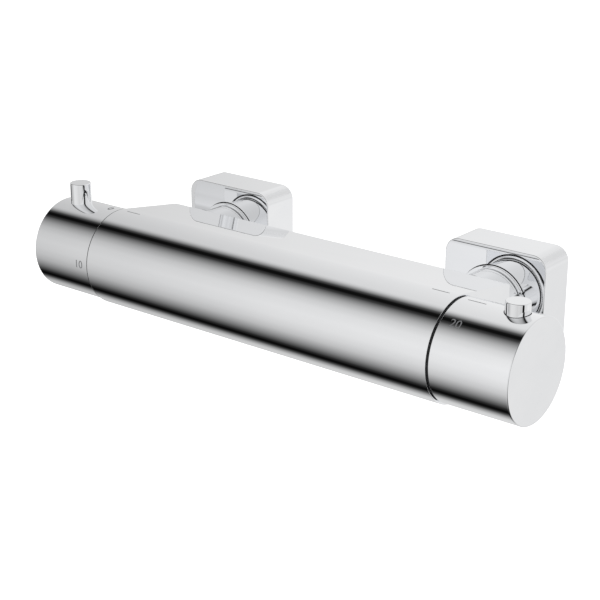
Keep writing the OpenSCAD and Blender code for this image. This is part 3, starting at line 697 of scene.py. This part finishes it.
@dataclass
class Bar:
    """The body: a round-fronted bar with a flat rear, two inlet bosses and the outlet boss."""

    axis_y: float = BAR_Y
    half_length: float = 93.0
    radius: float = BODY_RADIUS
    rear: float = BODY_REAR
    rear_corner: float = 1.0
    tangent_steps: int = 62
    steps: int = 275
    rim: float = 0.3
    end_rim: float = 0.12
    boss_radius: float = 15.0
    boss_front: float = -20.8
    boss_bore: float = 10.6
    boss_bore_depth: float = 6.0
    fillet: float = 1.2
    fillet_steps: int = 6
    outlet: Point = OUTLET
    outlet_root: float = -14.0
    outlet_radius: float = 12.4
    outlet_rim: float = 0.5
    drill_radius: float = 7.0
    drill_top: float = -10.2

    def bar(self) -> Bench:
        """Models the bar: an open tube whose rear is drawn out along the tangents.

        Returns:
            The bench that holds the bar.
        """
        bench = Bench.tube(
            "body_shell", Axis.X, (0.0, self.axis_y, 0.0),
            ((-self.half_length, self.radius), (self.half_length, self.radius)), self.steps,
        )
        bench.pick_faces(lambda face: abs(face.normal.x) > 0.9)
        bpy.ops.mesh.delete(type="ONLY_FACE")
        tangent = self.tangent_steps * 2 * math.pi / self.steps
        edge_y = self.axis_y + self.radius * math.cos(tangent)
        bench.pick_points(lambda at: at.y > edge_y + NEAR)
        bpy.ops.mesh.delete(type="VERT")
        bench.pick_edges(lambda edge: edge.is_boundary and run(edge, Axis.X) > self.half_length)
        depth = self.rear - edge_y
        bpy.ops.mesh.extrude_edges_move(TRANSFORM_OT_translate={"value": (0.0, depth * MM, 0.0)})
        height = self.radius * math.sin(tangent)
        share = (height - depth / math.tan(tangent)) / height
        bpy.ops.transform.resize(value=(1.0, 1.0, share), center_override=(0.0, self.axis_y * MM, 0.0))
        bpy.ops.mesh.edge_face_add()
        for end in (-1.0, 1.0):
            bench.pick_edges(
                lambda edge: edge.is_boundary and all(vert.co.x * end > 0 for vert in edge.verts))
            bpy.ops.mesh.edge_face_add()
        bench.face_out()
        bench.pick_edges(
            lambda edge: lies_at(edge, Axis.Y, self.rear) and run(edge, Axis.X) > self.half_length)
        bench.bevel(self.rear_corner, 5)
        ends = (-self.half_length, self.half_length)
        bench.pick_edges(lambda edge: any(lies_at(edge, Axis.X, end) for end in ends))
        bench.bevel(self.end_rim, 3)
        return bench

    def bosses(self) -> list[Bench]:
        """Models the two inlet bosses and the outlet boss.

        Returns:
            The benches that hold them.
        """
        made = []
        for side in Side:
            turns = [step * math.pi / 2 / self.fillet_steps for step in range(self.fillet_steps + 1)]
            fillet = [
                (self.rear + self.fillet * (1.0 - math.cos(turn)),
                 self.boss_radius + self.fillet * (1.0 - math.sin(turn))) for turn in turns
            ]
            centre = (side.value, 0.0, 0.0)
            front = self.boss_front
            boss = Bench.tube(f"{side.word}_boss", Axis.Y, centre, (
                (self.rear - OVER, self.boss_radius + self.fillet), *fillet, (front, self.boss_radius),
                (front, self.boss_bore), (front - self.boss_bore_depth, self.boss_bore)), 128)
            boss.pick_edges(lambda edge: lies_at(edge, Axis.Y, front)
                            and reach(edge, Axis.Y, centre) > self.boss_radius - RIM_PLAY)
            boss.bevel(self.rim, 3)
            made.append(boss)
        x, y, z = self.outlet
        low = Bench.tube("outlet_boss", Axis.Z, (x, y, 0.0), (
            (self.outlet_root, self.outlet_radius), (z, self.outlet_radius)), 96)
        low.pick_edges(lambda edge: lies_at(edge, Axis.Z, z))
        low.bevel(self.outlet_rim, 4)
        low.done()
        low.cut(self._drill(self.outlet_root + OVER))
        made.append(low)
        return made

    def _drill(self, top: float) -> Bench:
        """The outlet's drill, from below the boss up to a height."""
        x, y, z = self.outlet
        stations = ((z - OVER, self.drill_radius), (top, self.drill_radius))
        return Bench.tube("drill", Axis.Z, (x, y, 0.0), stations, 64)

    def build(self, finishes: Finishes) -> None:
        """Builds and lays the body.

        Args:
            finishes: The finishes of the valve.
        """
        bench = self.bar()
        bench.done()
        bench.cut(self._drill(self.drill_top))
        bench.join(*self.bosses())
        finishes.lay(bench.polish(), "chrome", "valve", "body")


@dataclass
class Handle:
    """A round handle shell with a closed, softly edged end and a screw hole in its underside."""

    name: str
    body: str
    way: float
    seam: float
    axis_y: float = BAR_Y
    start: float = 93.0
    end: float = 129.0
    radius: float = HANDLE_RADIUS
    wall: float = 2.5
    cap: float = 3.0
    edge: float = 0.6
    seam_edge: float = 0.15
    screw_place: float = 15.0
    screw_radius: float = 2.05
    steps: int = 256

    def shell(self) -> Bench:
        """Models the shell, with its inner wall.

        Returns:
            The bench that holds the shell.
        """
        inner = self.radius - self.wall
        start = self.start + self.seam
        stations = (
            (self.end - self.cap, inner), (start, inner), (start, self.radius), (self.end, self.radius))
        bench = Bench.tube(
            f"{self.name}_shell", Axis.X, (0.0, self.axis_y, 0.0),
            [(self.way * along, radius) for along, radius in stations], self.steps,
        )
        bench.pick_edges(lambda edge: self._on_ring(edge, self.end))
        bench.bevel(self.edge, 4)
        bench.pick_edges(lambda edge: self._on_ring(edge, start))
        bench.bevel(self.seam_edge, 2)
        return bench

    def _on_ring(self, edge: Edge, along: float) -> bool:
        """Whether an edge lies on the outer ring at a place along the bar."""
        middle = (edge.verts[0].co + edge.verts[1].co) / 2 / MM
        outside = math.hypot(middle.y - self.axis_y, middle.z) > self.radius - 2 * RIM_PLAY
        return outside and lies_at(edge, Axis.X, self.way * along)

    def build(self, finishes: Finishes) -> None:
        """Builds and lays the shell.

        Args:
            finishes: The finishes of the valve.
        """
        bench = self.shell()
        bench.cut(Bench.tube(
            "hole", Axis.Z, (self.way * (self.start + self.screw_place), self.axis_y, 0.0), (
                (-self.radius - OVER, self.screw_radius),
                (-self.radius + self.wall + OVER, self.screw_radius)), 32))
        finishes.lay(bench.polish(), "chrome", self.body, self.name)


@dataclass
class Seam:
    """A black ring of painted shade in the seam between the body and the flow handle: it stands in for the
    shade in the gap.
    """

    axis_y: float = BAR_Y
    start: float = -93.02
    end: float = -93.42
    outer: float = 22.4
    inner: float = 20.8
    rim: float = 0.03

    def build(self, finishes: Finishes) -> None:
        """Builds and lays the ring.

        Args:
            finishes: The finishes of the valve.
        """
        centre = (0.0, self.axis_y, 0.0)
        corners = (
            (self.start, self.inner), (self.start, self.outer),
            (self.end, self.outer), (self.end, self.inner))
        # The ring is painted shade, a dark stand-in for the shade inside the seam's gap.
        bench = Bench.tube("flow_seam", Axis.X, centre, (*corners, corners[0]), 192, closed=True)
        bench.pick_edges(lambda edge: reach(edge, Axis.X, centre) > self.outer - RIM_PLAY)
        bench.bevel(self.rim, 1)
        finishes.lay(bench.polish(), "seal_rubber", "valve")


@dataclass
class RootShadeRing:
    """A dark ring of painted shade at the root of an inlet boss, standing in for the root's shadow; it shows
    in the escutcheon's mirror.
    """

    side: Side
    rear: float = BODY_REAR
    lift: float = 0.08
    sunk: float = 0.4
    inner: float = 16.0
    outer: float = 16.75
    rim: float = 0.05

    def build(self, finishes: Finishes) -> None:
        """Builds and lays the ring.

        Args:
            finishes: The finishes of the valve.
        """
        centre = (self.side.value, 0.0, 0.0)
        low, high = self.rear - self.sunk, self.rear + self.lift
        corners = ((low, self.inner), (high, self.inner), (high, self.outer), (low, self.outer))
        # The ring is painted shade: a thin dark washer where the boss root lies in shadow.
        bench = Bench.tube(
            f"{self.side.word}_root_ring", Axis.Y, centre, (*corners, corners[0]), 128, closed=True)
        bench.pick_edges(lambda edge: lies_at(edge, Axis.Y, high) and edge.calc_length() < MM
                         and reach(edge, Axis.Y, centre) > self.outer - RIM_PLAY)
        bench.bevel(self.rim, 2)
        finishes.lay(bench.polish(), "seal_rubber", "valve")


@dataclass
class Pins:
    """The flow lever pin, and the shorter safety button with its flange, stem and arm."""

    axis_y: float = BAR_Y
    place: float = 119.0
    radius: float = 5.0
    edge: float = 0.4
    surface: float = HANDLE_RADIUS
    lever_top: float = 30.95
    lever_sunk: float = 4.1
    lever_root: float = 9.0
    lever_stem: float = 2.5
    button_top: float = 26.45
    button_root: float = 12.2
    button_stem: float = 2.4
    flange: tuple[float, float] = (16.34, 17.8)
    flange_radius: float = 6.3
    arm_centre: Point = (104.7, BAR_Y, 15.4)
    arm_size: Point = (16.8, 4.0, 2.0)
    arm_edge: float = 0.3
    gap: tuple[float, float] = (5.02, 5.3)
    gap_height: tuple[float, float] = (-0.4, 0.03)
    steps: int = 128

    def pin(self, name: str, x: float, stations: Profile, top: float) -> Bench:
        """Models one pin with a softly edged top.

        Args:
            name: The name of the piece.
            x: Its place along the bar.
            stations: Its heights and radii from below.
            top: The height of its top.

        Returns:
            The bench that holds the pin.
        """
        bench = Bench.tube(name, Axis.Z, (x, self.axis_y, 0.0), (*stations, (top, self.radius)), self.steps)
        bench.pick_edges(lambda edge: lies_at(edge, Axis.Z, top))
        bench.bevel(self.edge, 4)
        return bench

    def build(self, finishes: Finishes) -> None:
        """Builds and lays both pins and the ring of painted shade round the button.

        Args:
            finishes: The finishes of the valve.
        """
        low = self.surface - self.lever_sunk
        lever = self.pin("flow_lever", -self.place, (
            (self.lever_root, self.lever_stem), (low, self.lever_stem), (low, self.radius)), self.lever_top)
        finishes.lay(lever.polish(), "chrome", "flow_control", "flow_lever_pin")
        low, high = self.flange
        button = self.pin("button_cap", self.place, (
            (self.button_root, self.button_stem), (low, self.button_stem), (low, self.flange_radius),
            (high, self.flange_radius), (high, self.radius)), self.button_top)
        arm = Bench.block("button_arm", self.arm_centre, self.arm_size)
        arm.pick_all("EDGE")
        arm.bevel(self.arm_edge, 2)
        button.join(arm)
        finishes.lay(button.polish(), "chrome", "button", "safety_button")
        self.ring(finishes)

    def ring(self, finishes: Finishes) -> None:
        """Models a black ring of painted shade round the button, laid on the round handle, standing in for
        the shade in the gap.

        Args:
            finishes: The finishes of the valve.
        """
        (inner, outer), (low, high) = self.gap, self.gap_height
        flat = ((low, inner), (low, outer), (high, outer), (high, inner), (low, inner))
        centre = (self.place, self.axis_y, 0.0)
        # The ring is painted shade, a black stand-in for the shade in the gap round the button.
        bench = Bench.tube("button_gap_shade", Axis.Z, centre, flat, self.steps, closed=True)
        piece = bench.done()
        for vert in piece.data.vertices:
            across = vert.co.y / MM - self.axis_y
            vert.co.z += math.sqrt(self.surface ** 2 - across ** 2) * MM
        finishes.lay(bench.polish(), "black_plastic", "temperature_control")


@dataclass
class Inlet:
    """One wall inlet: a square escutcheon, the union nut, and the offset wall union with its thread."""

    side: Side
    width: float = 49.5
    depth: float = 19.0
    corner: float = 6.5
    wall: float = 2.0
    front_edge: float = 0.45
    hole: float = 16.7
    collar: tuple[float, float] = (-17.05, -10.6)
    collar_radius: float = 19.5
    groove: tuple[float, float] = (-14.6, -12.2)
    groove_radius: float = 17.9
    nut_radius: float = 16.4
    nut_front: float = 20.5
    nut_back: float = 2.0
    nut_round: float = 9.0
    nut_lip: float = 3.5
    nut_bore: float = 13.22
    nut_rim: float = 0.2
    lip_radius: float = 10.7
    nut_flats: float = 30.0
    nut_chamfer: tuple[float, float, float] = (1.2, 0.5, 2.4)
    union_flats: float = 26.0
    union_collar: float = -1.6
    union_front: float = -12.5
    union_radius: float = 13.1
    union_bore: float = 7.5
    union_ways: tuple[tuple[float, float], ...] = ((-3.0, 1.0), (-14.0, 0.0))
    union_edge: float = 0.5
    offset: float = 6.0
    thread: float = 10.45
    thread_length: float = 18.0
    bore: float = 6.6
    steps: int = 128

    @property
    def centre(self) -> Point:
        """The point where the inlet's axis meets the wall."""
        return self.side.value, 0.0, 0.0

    def _rod(self, name: str, radius: float, start: float, end: float, sides: int) -> Bench:
        """A plain rod on the inlet's axis, used as a cutter or as a start."""
        return Bench.tube(name, Axis.Y, self.centre, ((start, radius), (end, radius)), sides)

    def escutcheon(self) -> Bench:
        """Models the hollow square cover and the grooved ring behind its hole.

        Returns:
            The bench that holds the cover.
        """
        bench = Bench.block(
            f"{self.side.word}_cover", (self.side.value, -self.depth / 2, 0.0),
            (self.width, self.depth, self.width))
        bench.pick_edges(lambda edge: run(edge, Axis.Y) > NEAR)
        bench.bevel(self.corner, 16)
        bench.pick_faces(lambda face: face.normal.y > 0.9)
        bpy.ops.mesh.delete(type="ONLY_FACE")
        bench.pick_edges(lambda edge: lies_at(edge, Axis.Y, -self.depth))
        bench.bevel(self.front_edge, 4)
        bench.done()
        bench.modify("SOLIDIFY", thickness=self.wall * MM, offset=-1.0, use_even_offset=True)
        bench.cut(self._rod(
            "hole", self.hole, -self.depth - OVER, -self.depth + self.wall + OVER, self.steps))
        (front, back), (low, high) = self.collar, self.groove
        bench.join(Bench.tube("collar", Axis.Y, self.centre, (
            (front, self.hole), (front, self.collar_radius), (back, self.collar_radius), (back, self.hole),
            (high, self.hole), (high, self.groove_radius), (low, self.groove_radius), (low, self.hole),
            (front, self.hole)), self.steps, closed=True))
        return bench

    def nut(self) -> Bench:
        """Models the union nut: a round front and chamfered flats behind it.

        Returns:
            The bench that holds the nut.
        """
        split = self.nut_round - self.nut_front
        ledge = self.nut_lip - self.nut_front
        front = Bench.tube(f"{self.side.word}_nut", Axis.Y, self.centre, (
            (-self.nut_front, self.lip_radius), (-self.nut_front, self.nut_radius), (split, self.nut_radius),
            (split, self.nut_bore), (ledge, self.nut_bore), (ledge, self.lip_radius),
            (-self.nut_front, self.lip_radius)), self.steps, closed=True)
        front.pick_edges(lambda edge: lies_at(edge, Axis.Y, -self.nut_front) and edge.calc_length() < 2 * MM
                         and reach(edge, Axis.Y, self.centre) > self.nut_radius - RIM_PLAY)
        front.bevel(self.nut_rim, 3)
        front.done()
        flats = self._rod("flats", self.nut_flats / math.sqrt(3.0), split, -self.nut_back, 6)
        before, past, inwards = self.nut_chamfer
        flats.cut(Bench.tube("round_off", Axis.Y, self.centre, (
            (split - OVER, self.nut_radius), (-self.nut_back - before, self.nut_radius),
            (-self.nut_back + past, self.nut_radius - inwards)), self.steps), keep_common=True)
        flats.cut(self._rod("bore", self.nut_bore, split - OVER, 0.0, self.steps))
        front.join(flats)
        return front

    def union(self) -> Bench:
        """Models the offset wall union: a hexagon collar, the nut's end and the wall thread.

        Returns:
            The bench that holds the union.
        """
        word = self.side.word
        collar = self._rod(f"{word}_offset", self.union_flats / math.sqrt(3.0), self.union_collar, 0.0, 6)
        collar.pick_edges(lambda edge: run(edge, Axis.Y) > NEAR)
        collar.bevel(self.union_edge, 2)
        collar.done()
        near = self._rod("near", self.union_radius, self.union_front, self.union_collar + 0.1, 96)
        near.pick_edges(lambda edge: lies_at(edge, Axis.Y, self.union_front))
        near.bevel(self.union_edge, 2)
        foot = (self.side.value, 0.0, -self.offset)
        rod = Thread(self.thread, self.thread_length).build("wall_thread", Axis.Y, foot, 1.0)
        rod.cut(Bench.tube("bore", Axis.Y, foot, (
            (-OVER / 2, self.bore), (self.thread_length + OVER, self.bore)), 64))
        for part, (start, end) in zip((collar, near), self.union_ways):
            part.cut(self._rod("way", self.union_bore, start, end, 64))
        collar.join(near, rod)
        return collar

    def build(self, finishes: Finishes) -> None:
        """Builds and lays the three pieces.

        Args:
            finishes: The finishes of the valve.
        """
        word = self.side.word
        finishes.lay(self.escutcheon().polish(), "chrome", f"{word}_cover", f"{word}_escutcheon")
        finishes.lay(self.nut().polish(), "chrome", "valve", f"{word}_union_nut")
        finishes.lay(self.union().polish(), "brass", "valve", f"{word}_wall_union")


@dataclass
class Thread:
    """A G1/2 pipe thread, wound as one true helix and trimmed with a lead-in."""

    radius: float
    length: float
    pitch: float = 1.814
    depth: float = 1.0
    flank_share: float = 0.35
    lead: tuple[float, float] = (1.3, 1.5)
    steps: int = 48

    def build(self, name: str, axis: Axis, centre: Point, way: float) -> Bench:
        """Winds the thread from a line of one pitch and trims it to length.

        Args:
            name: The name of the piece.
            axis: The axis of the thread.
            centre: The place on that axis where the thread starts.
            way: 1 or -1, the way that it runs along the axis.

        Returns:
            The bench that holds the threaded rod.
        """
        turns = math.ceil(self.length / self.pitch) + 3
        Bench.clear()
        bpy.ops.mesh.primitive_plane_add(
            size=self.pitch * MM, location=((self.radius - self.pitch / 2) * MM, 0.0, 0.0),
            rotation=(math.pi / 2, 0.0, 0.0),
        )
        bench = Bench.started(name)
        bench.pick_points(lambda at: at.x < self.radius - 0.1)
        bpy.ops.mesh.delete(type="VERT")
        bench.pick_all("EDGE")
        bpy.ops.mesh.subdivide(number_cuts=3)
        bench.pick_points(lambda at: abs(at.z) < self.pitch / 8)
        bpy.ops.transform.translate(value=(-self.depth * MM, 0.0, 0.0))
        bench.pick_points(lambda at: self.pitch / 8 <= abs(at.z) < self.pitch / 2.5)
        bpy.ops.transform.translate(value=(-self.depth * MM * self.flank_share, 0.0, 0.0))
        bench.done()
        bench.modify(
            "SCREW", angle=2 * math.pi, screw_offset=self.pitch * MM, iterations=turns, steps=self.steps,
            render_steps=self.steps, axis="Z", use_merge_vertices=True, merge_threshold=4 * MERGE)
        bench.face_out()
        low, high = self.pitch, self.pitch + self.length
        for place, clear_low in ((low, True), (high, False)):
            bench.pick_all("EDGE")
            bpy.ops.mesh.bisect(plane_co=(0.0, 0.0, place * MM), plane_no=(0.0, 0.0, 1.0), use_fill=True,
                                clear_inner=clear_low, clear_outer=not clear_low)
        bench.face_out()
        bench.done()
        along, inwards = self.lead
        bench.cut(Bench.tube("trim", Axis.Z, (0.0, 0.0, 0.0), (
            (low - OVER, self.radius), (high - along, self.radius),
            (high + inwards - along, self.radius - inwards)), self.steps), keep_common=True)
        self._lay_along(bench, axis, centre, way)
        return bench

    def _lay_along(self, bench: Bench, axis: Axis, centre: Point, way: float) -> None:
        """Moves the rod from the bench's Z axis to its own place.

        Args:
            bench: The bench that holds the rod.
            axis: The axis of the thread.
            centre: Its start.
            way: 1 or -1, the way that it runs.
        """
        piece = bench.take()
        piece.location = (0.0, 0.0, -self.pitch * MM)
        bpy.ops.object.transform_apply(location=True, rotation=False, scale=False)
        turns = {Axis.Y: (-math.pi / 2 * way, 0.0, 0.0), Axis.Z: (0.0 if way > 0 else math.pi, 0.0, 0.0)}
        piece.rotation_euler = turns[axis]
        piece.location = Vector(centre) * MM
        bpy.ops.object.transform_apply(location=True, rotation=True, scale=False)


@dataclass
class Outlet:
    """The threaded outlet under the body."""

    centre: Point = OUTLET
    radius: float = 10.45
    length: float = 8.0
    bore: float = 6.5
    stem_radius: float = 9.3
    stem_length: float = 8.0
    stem_sunk: float = 1.5

    def build(self, finishes: Finishes) -> None:
        """Builds and lays the outlet nipple.

        Args:
            finishes: The finishes of the valve.
        """
        x, y, z = self.centre
        top = z + self.stem_length
        rod = Thread(self.radius, self.length).build("outlet_thread", Axis.Z, self.centre, -1.0)
        stem = Bench.tube("stem", Axis.Z, (x, y, 0.0), (
            (z - self.stem_sunk, self.stem_radius), (top, self.stem_radius)), 96)
        stem.done()
        for part in (rod, stem):
            part.cut(Bench.tube("bore", Axis.Z, (x, y, 0.0), (
                (z - self.length - OVER, self.bore), (top + OVER, self.bore)), 64))
        rod.join(stem)
        finishes.lay(rod.polish(), "chrome", "valve", "outlet_nipple")


@dataclass(frozen=True)
class Mark:
    """One printed mark: a number, or an index line where it has no text."""

    name: str
    text: str
    size: float
    place: float
    turn: float
    radius: float
    body: str
    corner_share: float = 0.45

    def flat(self, line_width: float) -> bpy.types.Object:
        """Makes the mark as a flat mesh on the origin.

        Args:
            line_width: The width of an index line.

        Returns:
            The flat mesh.
        """
        Bench.clear()
        if not self.text:
            bpy.ops.mesh.primitive_plane_add(size=1.0)
            bpy.context.object.scale = (self.size * MM, line_width * MM, 1.0)
            bench = Bench.started(self.name)
            bench.pick_all("VERT")
            bpy.ops.mesh.bevel(offset=line_width * self.corner_share * MM, segments=4, affect="VERTICES")
            return bench.done()
        bpy.ops.object.text_add()
        word = bpy.context.object
        word.data.body = self.text
        word.data.size = self.size * MM
        word.data.align_x = "CENTER"
        word.data.align_y = "CENTER"
        bpy.ops.object.convert(target="MESH")
        word = bpy.context.object
        word.name = word.data.name = self.name
        return word


@dataclass
class Marks:
    """Index lines beside the seams and plain numbers on the handles, printed in grey."""

    table: Sequence[Mark] = (
        Mark("flow_index", "", 8.1, -84.4, 0.0, BODY_RADIUS, "valve"),
        Mark("temperature_index", "", 8.1, 84.4, 0.0, BODY_RADIUS, "valve"),
        Mark("middle_index", "", 8.2, 101.1, 0.0, HANDLE_RADIUS, "temperature_control"),
        Mark("flow_mark_0", "0", 5.2, -99.4, 0.0, HANDLE_RADIUS, "flow_control"),
        Mark("flow_mark_10", "10", 5.2, -99.4, 90.0, HANDLE_RADIUS, "flow_control"),
        Mark("temperature_mark_20", "20", 5.2, 100.5, 40.0, HANDLE_RADIUS, "temperature_control"),
        Mark("temperature_mark_44", "44", 5.2, 100.5, -40.0, HANDLE_RADIUS, "temperature_control"),
    )
    axis_y: float = BAR_Y
    lift: float = 0.015
    ink: float = 0.03
    line_width: float = 0.3
    slice_width: float = 0.4
    slices: int = 8

    def wrap(self, piece: bpy.types.Object, mark: Mark) -> None:
        """Cuts a flat mark across and wraps it round the bar.

        Args:
            piece: The flat mark.
            mark: Where it goes.
        """
        bench = Bench(piece)
        for step in range(-self.slices, self.slices + 1):
            bench.pick_all("EDGE")
            bpy.ops.mesh.bisect(plane_co=(0.0, step * self.slice_width * MM, 0.0), plane_no=(0.0, 1.0, 0.0))
        bench.done()
        out = mark.radius + self.lift
        for vert in piece.data.vertices:
            angle = math.radians(mark.turn) - vert.co.y / (out * MM)
            y, z = self.axis_y - out * math.sin(angle), out * math.cos(angle)
            vert.co = Vector((mark.place * MM + vert.co.x, y * MM, z * MM))
        bench.modify("SOLIDIFY", thickness=self.ink * MM, offset=1.0)
        bench.polish()

    def build(self, finishes: Finishes) -> None:
        """Builds and lays every mark.

        Args:
            finishes: The finishes of the valve.
        """
        for mark, piece in [(mark, mark.flat(self.line_width)) for mark in self.table]:
            self.wrap(piece, mark)
            finishes.lay(piece, "grey_plastic", mark.body)


@dataclass
class Studio:
    """The pale floor, the bright dome with its two dark strips, and the camera."""

    floor_z: float = -0.32
    floor_size: float = 30.0
    place: Point = (0.37539, -0.52294, 0.21368)
    azimuth: float = 38.852
    pitch: float = 20.123
    lens: float = 86.94
    sensor: float = 36.0
    clip: tuple[float, float] = (0.01, 100.0)
    lamp_place: Point = (0.2, -0.4, 1.6)
    lamp_size: float = 2.4
    lamp_energy: float = 14.0
    # Light at each turn round the bar, from the wall over the top: the dark strips lie at 98 and 262 degrees
    strips: Profile = (
        (0, 0.75), (8, 0.785), (30, 0.755), (55, 0.715), (74, 0.68), (79, 0.57), (84, 0.34), (90, 0.07),
        (95, 0.006), (101, 0.004), (107, 0.045), (124, 0.42), (136, 0.62), (150, 0.74), (170, 0.79),
        (190, 0.75), (206, 0.66), (220, 0.53), (234, 0.30), (246, 0.11), (254, 0.024), (261, 0.002),
        (267, 0.006), (273, 0.07), (282, 0.33), (292, 0.57), (300, 0.625), (316, 0.62), (326, 0.68),
        (334, 0.84), (360, 0.75),
    )
    # The light's strength along the bar, from its left to its right
    fall: Profile = (
        (-1.0, 0.55), (-0.72, 0.845), (-0.6, 1.03), (-0.45, 1.15),
        (0.0, 1.1), (0.42, 0.98), (0.6, 1.07), (1.0, 1.05),
    )
    # A brighter panel beside the wall: its turns round the bar, where it starts to the right, and its light
    panel: Profile = ((0, 0.0), (296, 0.0), (312, 1.0), (348, 1.0), (360, 0.0))
    panel_start: tuple[float, float] = (0.1, 0.4)
    panel_light: float = 0.82
    # Light past the bar's two ends by the place from front to back: one dark strip, just in front
    ends: Profile = ((-1.0, 0.76), (-0.36, 0.76), (-0.32, 0.006), (-0.05, 0.006), (-0.012, 0.76), (1.0, 0.76))
    ends_start: tuple[float, float] = (0.80, 0.90)
    # The even light straight past the ends, and its share there
    pole_light: float = 0.76
    pole_start: tuple[float, float] = (0.965, 0.975)
    pole_share: float = 0.65

    def floor(self) -> None:
        """Lays the plain pale floor, which is clear from below."""
        Bench.clear()
        bpy.ops.mesh.primitive_plane_add(size=self.floor_size, location=(0.0, 0.0, self.floor_z))
        bench = Bench.started("floor")
        bench.pick_all("FACE")
        bpy.ops.mesh.subdivide(number_cuts=4)
        piece = bench.done()
        made = bpy.data.materials.new("pale_floor")
        made.use_nodes = True
        build = Tree(made.node_tree)
        shader = build.node("BsdfPrincipled", {
            "Base Color": grey(0.93), "Roughness": 0.9, "Emission Color": WHITE, "Emission Strength": 0.75,
        })
        under = build.node("MixShader", {
            0: build.node("NewGeometry").outputs["Backfacing"], 1: shader.outputs["BSDF"],
            2: build.node("BsdfTransparent").outputs["BSDF"],
        })
        build.node("OutputMaterial", {"Surface": under.outputs["Shader"]})
        piece.data.materials.append(made)
        piece.visible_glossy = False

    def dome(self) -> None:
        """Builds the dome: bright all round, with a dark strip above and one below, both along the bar."""
        world = bpy.data.worlds.new("dome")
        bpy.context.scene.world = world
        world.use_nodes = True
        build = Tree(world.node_tree)
        x, y, z = build.node("SeparateXYZ", {"Vector": build.node("TexCoord").outputs["Generated"]}).outputs
        share = build.value("MULTIPLY", build.value("ARCTAN2", z, y), 1.0 / (2 * math.pi))
        turn = build.value("WRAP", share, 1.0, 0.0)
        beside = build.greys(turn, self.panel, 0.0, 360.0)
        beside = build.value("MULTIPLY", build.ranged(x, *self.panel_start), beside)
        round_bar = build.mixed(beside, build.greys(turn, self.strips, 0.0, 360.0), grey(self.panel_light))
        along = build.greys(build.ranged(x, -1.0, 1.0), self.fall, -1.0, 1.0)
        lit = build.mixed(1.0, round_bar, along, "MULTIPLY")
        end = build.value("ABSOLUTE", x)
        at_end = build.greys(build.ranged(y, -1.0, 1.0), self.ends, -1.0, 1.0)
        pole = build.ranged(end, *self.pole_start, 0.0, self.pole_share)
        closed = build.mixed(
            build.ranged(end, *self.ends_start), lit, build.mixed(pole, at_end, grey(self.pole_light)))
        seen = build.mixed(build.node("LightPath").outputs["Is Camera Ray"], closed, WHITE)
        back = build.node("Background", {"Color": seen, "Strength": 1.0})
        build.node("OutputWorld", {"Surface": back.outputs["Background"]})

    def light(self) -> None:
        """Hangs one large soft light over the floor."""
        Bench.clear()
        bpy.ops.object.light_add(type="AREA", location=self.lamp_place)
        lamp = bpy.context.object
        lamp.name = "soft_light"
        lamp.data.shape = "SQUARE"
        lamp.data.size = self.lamp_size
        lamp.data.energy = self.lamp_energy
        lamp.visible_glossy = False

    def camera(self) -> None:
        """Places the camera at the photograph's angle."""
        Bench.clear()
        bpy.ops.object.camera_add(
            location=self.place, rotation=(math.radians(90.0 - self.pitch), 0.0, math.radians(self.azimuth)))
        eye = bpy.context.object
        eye.data.lens = self.lens
        eye.data.sensor_width = self.sensor
        eye.data.clip_start, eye.data.clip_end = self.clip
        bpy.context.scene.camera = eye

    def build(self) -> None:
        """Builds the whole studio."""
        self.floor()
        self.dome()
        self.light()
        self.camera()
        bpy.context.scene.view_settings.view_transform = "Standard"
        bpy.context.scene.view_settings.look = "None"


def main() -> None:
    """Builds the valve's visible pieces, dresses them and sets up the studio."""
    logging.basicConfig(level=logging.INFO, format="%(name)s: %(message)s")
    Bench.clear()
    finishes = Finishes()
    finishes.build()
    Bar().build(finishes)
    Handle("flow_handle", "flow_control", -1.0, 0.5).build(finishes)
    Handle("temperature_handle", "temperature_control", 1.0, 0.8).build(finishes)
    Seam().build(finishes)
    Pins().build(finishes)
    for side in Side:
        Inlet(side).build(finishes)
        RootShadeRing(side).build(finishes)
    Outlet().build(finishes)
    Marks().build(finishes)
    Studio().build()


if __name__ == "__main__":
    main()
